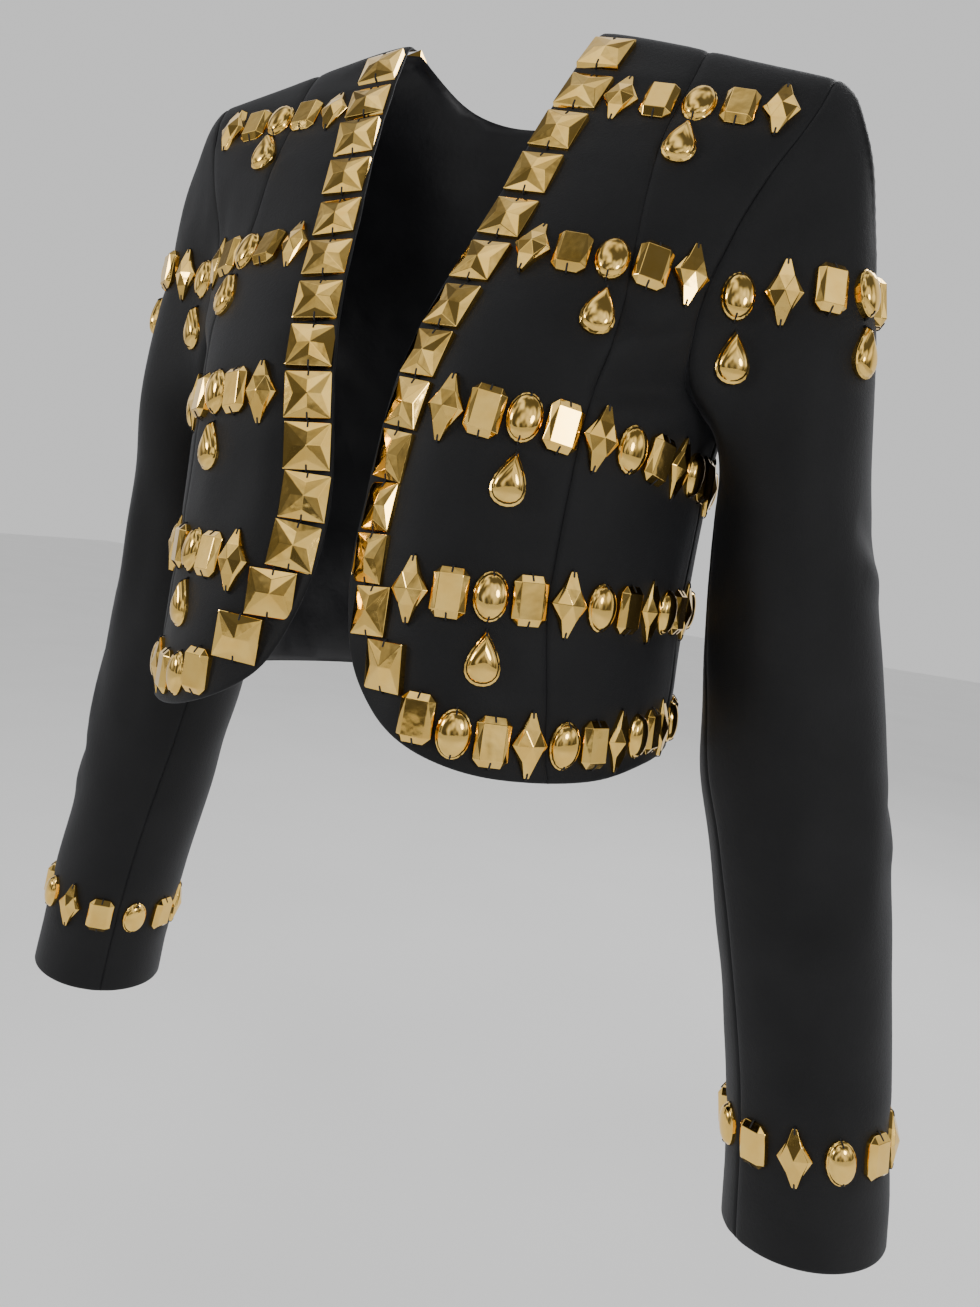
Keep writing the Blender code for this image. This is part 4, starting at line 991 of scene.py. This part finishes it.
def stone_template(maker, reach, ends):
    """Points, faces, slots and smooth flags of one stone with bevelled facets and threads."""
    points, faces, flat_faces = maker()
    work = bmesh.new()
    corners = [work.verts.new(place) for place in points]
    for number, face in enumerate(faces):
        work.faces.new([corners[k] for k in face]).smooth = number >= flat_faces
    work.normal_update()
    sharp = [edge for edge in work.edges
             if len(edge.link_faces) == 2 and not all(face.smooth for face in edge.link_faces)
             and edge.calc_face_angle(0) > 0.05]
    bmesh.ops.bevel(work, geom=sharp, offset=BEVEL, segments=1, affect="EDGES", clamp_overlap=True)
    work.verts.index_update()
    all_points = [tuple(vertex.co) for vertex in work.verts]
    all_faces = [[vertex.index for vertex in face.verts] for face in work.faces]
    flags = [face.smooth for face in work.faces]
    work.free()
    slots = [0] * len(all_faces)
    for end in ends:
        ring_points, ring_list = stitch(points, faces, reach, end)
        start = len(all_points)
        all_points += [tuple(place) for place in ring_points]
        all_faces += [[start + k for k in face[::-end]] for face in ring_list]
        slots += [1] * len(ring_list)
        flags += [True] * len(ring_list)
    return np.array(all_points), all_faces, slots, flags


TEMPLATES = {
    kind: stone_template(maker, reach, (1,) if kind == "drop" else (-1, 1))
    for kind, (maker, reach, _) in STONES.items()
}


def stone_group(name, surface, stones, height, materials, mirrored):
    """All stones on one cloth piece, each square to the cloth under its middle."""
    points, faces, slots, flags = [], [], [], []
    start = 0
    rng = np.random.default_rng(len(stones) * 7 + mirrored)
    for kind, flat, heading in stones:
        normal, first, second = row_frame(surface, flat, heading)
        if kind == "square":
            first, second = -second, first
        if second[2] < 0:
            first, second = -first, -second
        tilt = rng.normal(0, STONE_TILT, 3)
        to_flat = np.linalg.pinv(pattern_slopes(surface, flat))
        shape, shape_faces, shape_slots, shape_flags = TEMPLATES[kind]
        spun_first = first + second * tilt[2] * 0.8
        spun_second = second - first * tilt[2] * 0.8
        lean = normal + first * tilt[0] + second * tilt[1]
        space = shape[:, :1] * spun_first + shape[:, 1:2] * spun_second
        lift = WALL / 2 + height(flat[None])[0]
        placed = surface.point(flat[None])[0] + space + lean * (shape[:, 2:3] + lift)
        placed -= (space @ (lean - normal))[:, None] * normal
        # The lowest points follow the cloth and end a little inside it.
        low = shape[:, 2] < 0.0003
        flats = flat + space[low] @ to_flat.T
        depth = WALL / 2 - STONE_SUNK + height(flats)
        placed[low] = surface.point(flats) + surface.normal(flats) * depth[:, None]
        points.append(placed)
        faces += [[start + k for k in face] for face in shape_faces]
        slots += shape_slots
        flags += shape_flags
        start += len(placed)
    points = np.concatenate(points)
    if mirrored:
        points = points * [-1, 1, 1]
        faces = [face[::-1] for face in faces]
    return add_mesh(name, points, faces, materials, slots, flags)


def set_inputs(tree, node, inputs):
    """Gives each named input a value or a link from another node's output."""
    for name, value in inputs.items():
        if isinstance(value, bpy.types.NodeSocket):
            tree.links.new(value, node.inputs[name])
        else:
            node.inputs[name].default_value = value


def add_node(tree, kind, inputs=()):
    node = tree.nodes.new("ShaderNode" + kind)
    set_inputs(tree, node, dict(inputs))
    return node


def add_noise(tree, scale, detail, way="Object"):
    place = add_node(tree, "TexCoord").outputs[way]
    return add_node(tree, "TexNoise", {"Scale": scale, "Detail": detail, "Vector": place}).outputs["Fac"]


def make_look(name, values, cloud, low, high, bumps=()):
    """A material: its shader's values, the scale and detail of the noise between its two
    tones, the tones, and the scale, detail, strength and distance of its bumps."""
    material = bpy.data.materials.new(name)
    material.use_nodes = True
    tree = material.node_tree
    ramp = tree.nodes.new("ShaderNodeValToRGB")
    for element, position, tone in zip(ramp.color_ramp.elements, (0.3, 0.7), (low, high)):
        element.position, element.color = position, (*tone, 1)
    set_inputs(tree, ramp, {"Fac": add_noise(tree, *cloud)})
    inputs = {**values, "Base Color": ramp.outputs["Color"]}
    for scale, detail, strength, distance in bumps:
        bump = {"Strength": strength, "Distance": distance, "Height": add_noise(tree, scale, detail)}
        if "Normal" in inputs:
            bump["Normal"] = inputs["Normal"]
        inputs["Normal"] = add_node(tree, "Bump", bump).outputs["Normal"]
    set_inputs(tree, tree.nodes["Principled BSDF"], inputs)
    return material


def make_looks():
    """Pebbled black wool crepe and its satin lining, then plated metal that is a little uneven
    from casting and its sewing thread."""
    crepe = make_look(
        "black_wool_crepe_face",
        {"Roughness": 0.62, "Specular IOR Level": 0.23, "Sheen Weight": 0.07, "Sheen Roughness": 0.45,
         "Sheen Tint": (0.88, 0.90, 1.0, 1)},
        (22.0, 5.0), (0.0055, 0.0056, 0.0062), (0.0093, 0.0094, 0.0102),
        ((1500.0, 3.0, 0.55, 0.00035), (420.0, 4.0, 0.30, 0.0005)))
    satin = make_look(
        "black_satin_lining", {"Roughness": 0.42, "Specular IOR Level": 0.4},
        (30.0, 3.0), (0.010, 0.010, 0.012), (0.020, 0.020, 0.023), ((260.0, 2.0, 0.25, 0.0006),))
    gold = make_look(
        "pale_gold_mirror", {"Metallic": 1.0},
        (90.0, 3.0), (0.90, 0.56, 0.13), (0.96, 0.64, 0.18), ((130.0, 1.5, 0.12, 0.0010),))
    tree = gold.node_tree
    smear = add_noise(tree, 240.0, 4.0)
    rough = add_node(tree, "MapRange", {"Value": smear, "To Min": 0.04, "To Max": 0.11})
    set_inputs(tree, tree.nodes["Principled BSDF"], {"Roughness": rough.outputs["Result"]})
    thread = make_look(
        "black_sewing_thread", {"Roughness": 0.7},
        (2600.0, 2.0), (0.005, 0.005, 0.006), (0.016, 0.016, 0.018), ((2600.0, 2.0, 0.5, 0.0002),))
    return [crepe, satin], [gold, thread]


def build(surface, parts, tables, place, height_of, looks):
    """Both sides of these parts, each a name, an outline and its stones. Every piece rides on
    the jacket's one body."""
    cloth, metal = looks
    all_stones = [stone for _, _, stones in parts for stone in stones]
    for mirrored, (side, table) in enumerate(zip(("left", "right"), tables)):
        lines = crease_lines(table, place)

        def height(flats):
            return height_of(flats, lines, mirrored) + pucker(flats, all_stones)

        for kind, outline, stones in parts:
            name = kind + "_" + side
            piece = cloth_shell("cloth_" + name, surface, outline, height, cloth, mirrored)
            stones = stone_group("stones_" + name, surface, stones, height, metal, mirrored)
            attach(piece, "root")
            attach(stones, "root")
            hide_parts(name)


def front_height(flats, lines, mirrored):
    return crease_height(flats, lines) + soft_waves(flats, FRONT_SEED + mirrored, TORSO_WAVES)


def back_height(flats, lines, mirrored):
    """Level at the middle seam, so that the two halves meet there."""
    level_seam = np.clip((2 * ACROSS - flats[:, 0]) / 0.02, 0, 1)
    waves = soft_waves(flats, BACK_SEED + mirrored, TORSO_WAVES)
    return (crease_height(flats, lines) + waves) * level_seam


def sleeve_height(flats, lines, mirrored):
    """Level at the armhole, with no waves at the cuff."""
    fade = np.clip((flats[:, 1] + cap_length(flats[:, 0] / AROUND)) / 0.012, 0, 1)
    waves = soft_waves(flats * [1, 0.8], SLEEVE_SEED + mirrored, SLEEVE_WAVES)
    waves = waves * np.clip((ARM_LENGTH - flats[:, 1]) / 0.03, 0, 1)
    return (crease_height(flats, lines, (-AROUND, 0.0, AROUND)) + waves) * fade


def build_torso(torso, looks):
    edge = torso_line(FRONT_EDGE, 200)
    front_hem = torso_line(FRONT_HEM, 20)
    back_hem = torso_line(BACK_HEM, 40, back=True)
    neck = torso_line(BACK_NECK, 30, back=True)
    edge[0, 1] = neck[-1, 1] = 0.0
    neck[-1, 0] = 2 * ACROSS - edge[0, 0]
    edge[-1] = front_hem[0]
    front_hem[-1] = back_hem[-1] = (front_hem[-1] + back_hem[-1]) / 2
    tip, under_arm = armhole_flat([0.0, 0.5])

    front_stones, side_stones, back_stones, princess_points, side_points = torso_stones(torso, neck)
    princess_top = torso_flat(PRINCESS_TOP[0] * CM, PRINCESS_TOP[1] * CM)[0] * [1, 0]
    princess = smooth_down([princess_top] + princess_points + [edge[-1]])
    side_seam = spaced(smooth_down([under_arm] + side_points + [front_hem[-1]]))

    # Each outline as its lines, which follow one another, and whether each is a free edge.
    front = [
        (spaced(np.array([edge[0], princess[0]])), False),
        (spaced(princess), False),
        (spaced(edge[::-1]), True),
    ]
    side_front = [
        (spaced(np.array([princess[0], tip])), False),
        (armhole_flat(np.linspace(0, 0.5, HALF_ARMHOLE)), False),
        (side_seam, False),
        (spaced(front_hem[::-1]), True),
        (spaced(princess[::-1]), False),
    ]
    back = [
        (spaced(neck), True),
        (spaced(np.array([neck[-1], [2 * ACROSS - tip[0], 0.0]])), False),
        (armhole_flat(np.linspace(0.5, 1, HALF_ARMHOLE))[::-1], False),
        (side_seam, False),
        (spaced(back_hem[::-1]), True),
        (spaced(np.array([back_hem[0], neck[0]])), False),
    ]
    parts = [("front", front, front_stones), ("side_front", side_front, side_stones)]
    tables = (TORSO_CREASES_LEFT, TORSO_CREASES_RIGHT)
    build(torso, parts, tables, place_front, front_height, looks)
    tables = (BACK_CREASES_LEFT, BACK_CREASES_RIGHT)
    build(torso, [("back", back, back_stones)], tables, place_back, back_height, looks)


def torso_stones(torso, neck):
    """Stones of the left front, the left side front and the left back, and the places that
    the princess and side seams run through."""
    # Rows round the torso, and the side seam that runs between their stones: the row's line,
    # its first stones, those with a drop, its pitch in front and the slope of its stones there.
    rows = (
        (torso_row(
            ((3, -23.1), (9, -23.0), (12, -23.35), (15, -23.95), (16.6, -24.4)),
            ((0, -24.4), (8, -24.4), (16.6, -24.4)), 0.0550), "LE", (2, 14), 0.0193, ROW_LEAN),
        (torso_row(
            ((3, -32.1), (9, -31.8), (16.6, -31.7)),
            ((0, -31.4), (8, -31.5), (16.6, -31.7)), 0.0532), "LE", (2, 14), 0.0197, 0.0),
        (torso_row(
            ((5, -37.4), (6.8, -38.15), (8.8, -38.7), (12.6, -38.85), (14.8, -38.65), (15.8, -38.35)),
            ((0, -37.5), (8, -37.7), (15.8, -38.35)), 0.067), "EOEL", (), 0.0194, 0.0),
    )
    front_stones, side_stones, back_stones = [], [], []
    side_points, princess_points = [], []
    for (fore, aft), start, drops, pitch, lean in rows:
        line = np.concatenate([fore, aft[1:]])
        ahead = round(arc_curve(torso, fore)[-1] / pitch + 0.5)
        side = (ahead - 0.5) * pitch + 2 * SEAM_ROOM
        rest = arc_curve(torso, line)[-1] - side - SEAM_ROOM
        behind = round(rest / ROW_PITCH)
        princess = (BEFORE_PRINCESS - 0.5) * pitch + SEAM_ROOM / 2
        for points, at in ((princess_points, princess), (side_points, side)):
            points.append(on_curve(torso, line, [at])[0][0])
        for number, letter in enumerate((start + ROW_PATTERN * 9)[:ahead + behind]):
            place = number * pitch + (SEAM_ROOM if number >= BEFORE_PRINCESS else 0)
            if number >= ahead:
                place = side + SEAM_ROOM + (number - ahead + 0.5) * rest / behind
            below = (0,) if number in drops else ()
            stones = row_stones(torso, line, letter, [place], below, lean if number < ahead else 0.0)
            if number < BEFORE_PRINCESS:
                front_stones += stones
            elif number < ahead:
                side_stones += stones
            else:
                back_stones += stones

    # Rows of the chest: ends from the middle, heights there, stones ahead of the seam, pitch.
    for ends, heights, split, pitch in (
            ((0.0722, 0.156), (-0.1418, -0.1450), 3, 0.0205),
            ((0.0903, 0.186), (-0.0482, -0.0530), 2, 0.0212)):
        x = np.linspace(*ends, 40)
        line = torso_flat(x, np.interp(x, ends, heights))
        gap, ways = on_curve(torso, line, [(split - 0.5) * pitch])
        below = above(torso, gap[0], leaning(ways[0], ROW_LEAN), -DROP_BELOW)
        princess_points = [gap[0], below] + princess_points
        for number, letter in enumerate("LEOEL"):
            drops = (0,) if letter == "O" else ()
            stones = row_stones(torso, line, letter, [number * pitch], drops, ROW_LEAN)
            if number < split:
                front_stones += stones
            else:
                side_stones += stones

    # Rows of the upper back, from near the armhole to the middle.
    for start_x, heights in (
            (0.143, ((0, -14.0), (8, -14.1), (15, -14.4))),
            (0.166, ((0, -7.6), (8, -7.0), (17, -6.4)))):
        table = np.array(heights) * CM
        x = np.linspace(start_x, 0, LINE_STEPS)
        line = torso_flat(x, natural_spline(table[:, 0], table[:, 1], x), True)
        length = arc_curve(torso, line)[-1]
        count = math.floor(length / BACK_PITCH + 0.5)
        spots = np.arange(count) * (length / (count - 0.5))
        back_stones += row_stones(torso, line, ("LEOEL" + ROW_PATTERN * 4)[:count], spots, (2,))

    # Squares down the front edge, the last ones upright, and round the back of the neck.
    flats = torso_flat(*(np.array(FRONT_SQUARES) * CM).T)
    ways = np.gradient(torso.point(flats), axis=0)
    ways[:, 0] = np.minimum(ways[:, 0], 0)
    front_stones += [("square", flat, way) for flat, way in zip(flats, ways)]
    ahead = np.gradient(torso.point(neck), axis=0)
    nape = np.array([above(torso, flat, way, EDGE_MARGIN) for flat, way in zip(neck, ahead)])[::-1]
    pitch = (arc_curve(torso, nape)[-1] - NAPE_START) / (NAPE_SQUARES - 0.5)
    spots = NAPE_START + pitch * np.arange(NAPE_SQUARES)
    back_stones += row_stones(torso, nape, "S" * NAPE_SQUARES, spots, lean=None)
    return front_stones, side_stones, back_stones, princess_points, side_points


def build_sleeves(sleeve, looks):
    front_seam = sleeve_seam(FRONT_SEAM_TOP, FRONT_SEAM_CUFF)
    back_seam = sleeve_seam(BACK_SEAM_TOP, BACK_SEAM_CUFF)
    far_seam = back_seam - [AROUND, 0]

    def top_line(start, end, count):
        at = np.linspace(start, end, count)
        return np.stack([at * AROUND, -cap_length(at)], axis=-1)

    def cuff_line(start, end):
        return spaced(np.array([[start * AROUND, ARM_LENGTH], [end * AROUND, ARM_LENGTH]]))

    upper = [
        (top_line(BACK_SEAM_TOP - 1, FRONT_SEAM_TOP, 110), False),
        (spaced(front_seam), False),
        (cuff_line(FRONT_SEAM_CUFF, BACK_SEAM_CUFF - 1), True),
        (spaced(far_seam[::-1]), False),
    ]
    under = [
        (top_line(FRONT_SEAM_TOP, BACK_SEAM_TOP, 32), False),
        (spaced(back_seam), False),
        (cuff_line(BACK_SEAM_CUFF, FRONT_SEAM_CUFF), True),
        (spaced(front_seam[::-1]), False),
    ]

    # The row over the top of the sleeve, from armhole to armhole and highest at the outside.
    along = np.linspace(-0.2, 0.02, 160)
    line = []
    for place in np.linspace(0.42, -0.31, 90):
        runs = along[along > 0.001 - cap_length(place)[0]]
        heights = sleeve.point(np.stack([np.full_like(runs, place * AROUND), runs], axis=-1))[:, 2]
        wanted = SLEEVE_ROW_TOP - SLEEVE_ROW_DROP * (1 - math.cos(place * 2 * math.pi))
        if heights[0] >= wanted:
            line.append((place * AROUND, np.interp(-wanted, -heights, runs)))
    line = np.array(line)
    start, end = SLEEVE_ROW_ENDS
    places = np.linspace(start, arc_curve(sleeve, line)[-1] - end, len(SLEEVE_ROW))
    upper_stones = row_stones(sleeve, line, SLEEVE_ROW, places, SLEEVE_ROW_DROPS)

    under_stones = []
    for number, letter in enumerate(CUFF_ROW):
        inner = number >= CUFF_OUTER
        place = FRONT_SEAM_CUFF - (number + 0.5) / len(CUFF_ROW) + (1 if inner else 0)
        flat = np.array([place * AROUND, ARM_LENGTH - CUFF_ROW_UP])
        step = [HEADING_STEP, 0]
        heading = sleeve.point(flat[None] - step)[0] - sleeve.point(flat[None] + step)[0]
        (under_stones if inner else upper_stones).append((LETTERS[letter], flat, heading))

    parts = [("sleeve_upper", upper, upper_stones), ("sleeve_under", under, under_stones)]
    tables = (SLEEVE_CREASES_LEFT, SLEEVE_CREASES_RIGHT)
    build(sleeve, parts, tables, place_sleeve, sleeve_height, looks)


FOCAL_LENGTH = 1000.0    # of the photograph, in its pixels
PHOTO_HEIGHT = 1307.0
SENSOR = 36.0
CAMERA_PLACE = (0.2805, -0.570, -0.290)
LIT_PLACE = (0.0, 0.0, -0.3)  # the middle of the jacket, where the lights point
FLOOR_REACH = 9.0
FLOOR_Z = -0.95


def stand(thing, side, up, ahead, place):
    """Puts a camera or light at a place, looking ahead."""
    matrix = np.eye(4)
    matrix[:3] = np.stack([side, up, -ahead, place], axis=1)
    thing.matrix_world = Matrix(matrix.tolist())


def add_camera():
    """The camera stands where the photograph was taken from."""
    right = unit(np.array([0.910, 0.393, 0.134]))
    forward = unit(np.array([-0.380, 0.918, -0.113]))
    up = unit(np.cross(right, forward))
    camera = bpy.data.cameras.new("camera")
    camera.sensor_fit = "VERTICAL"
    camera.sensor_height = SENSOR
    camera.lens = FOCAL_LENGTH / PHOTO_HEIGHT * SENSOR
    camera.clip_start = 0.01
    holder = add_thing("camera", camera)
    stand(holder, np.cross(forward, up), up, forward, CAMERA_PLACE)
    bpy.context.scene.camera = holder


def add_light(name, size, watts, place):
    """An elliptical light of this size that faces the middle of the jacket."""
    light = bpy.data.lights.new(name, "AREA")
    light.shape = "ELLIPSE"
    light.size, light.size_y = size
    light.energy = watts
    ahead = unit(np.array(LIT_PLACE) - place)
    side = unit(np.cross(ahead, [0, 0, 1.0]))
    stand(add_thing(name, light), side, np.cross(side, ahead), ahead, place)


def add_floor():
    """A pale floor well under the hanging jacket."""
    mesh = bpy.data.meshes.new("floor")
    ways = ((-1, -1), (1, -1), (1, 1), (-1, 1))
    corners = [(FLOOR_REACH * x, FLOOR_REACH * y, FLOOR_Z) for x, y in ways]
    mesh.from_pydata(corners, [], [(0, 1, 2, 3)])
    tones = (0.91, 0.91, 0.91), (0.94, 0.94, 0.94)
    mesh.materials.append(make_look("pale_floor", {"Roughness": 0.9}, (3.0, 2.0), *tones))
    add_thing("floor", mesh)


def add_range(tree, source, start, end):
    """Maps a value smoothly from one range to another."""
    change = add_node(tree, "MapRange", {
        "Value": source, "From Min": start[0], "From Max": start[1], "To Min": end[0], "To Max": end[1]})
    change.interpolation_type = "SMOOTHSTEP"
    return change.outputs["Result"]


def add_world():
    """The camera sees plain pale surroundings; all else is lit by a paler back and, in front,
    by broad pale and dark areas like those of a studio with screens, darkest low down."""
    world = bpy.data.worlds.new("studio")
    bpy.context.scene.world = world
    world.use_nodes = True
    tree = world.node_tree
    way = add_node(tree, "TexCoord").outputs["Generated"]
    parts = add_node(tree, "SeparateXYZ", {"Vector": way}).outputs
    behind = add_range(tree, parts["Y"], (0.25, 0.6), (0.0, 1.0))
    by_height = add_range(tree, parts["Z"], (-0.6, 0.6), (0.45, 1.4))
    screens = add_range(tree, add_noise(tree, 2.1, 1.0, "Generated"), (0.40, 0.70), (0.09, 1.05))
    front = add_node(tree, "Math", {0: screens, 1: by_height})
    front.operation = "MULTIPLY"
    lit = add_node(tree, "Mix", {"Factor": behind, "A": front.outputs["Value"], "B": 0.95})
    camera_ray = add_node(tree, "LightPath").outputs["Is Camera Ray"]
    seen = add_node(tree, "Mix", {"Factor": camera_ray, "A": lit.outputs["Result"], "B": 0.78})
    colour = (1.0, 1.0, 1.0, 1)
    set_inputs(tree, tree.nodes["Background"], {"Color": colour, "Strength": seen.outputs["Result"]})


def main():
    looks = make_looks()
    build_torso(Torso(), looks)
    build_sleeves(Sleeve(), looks)
    add_camera()
    add_floor()
    add_world()
    add_light("key", (0.65, 0.65), 13, (-1.5, -1.7, 0.45))
    add_light("fill", (0.55, 0.55), 8, (1.9, -1.1, 0.25))
    add_light("rim", (1.2, 0.8), 22, (0.6, 1.6, 1.2))


main()
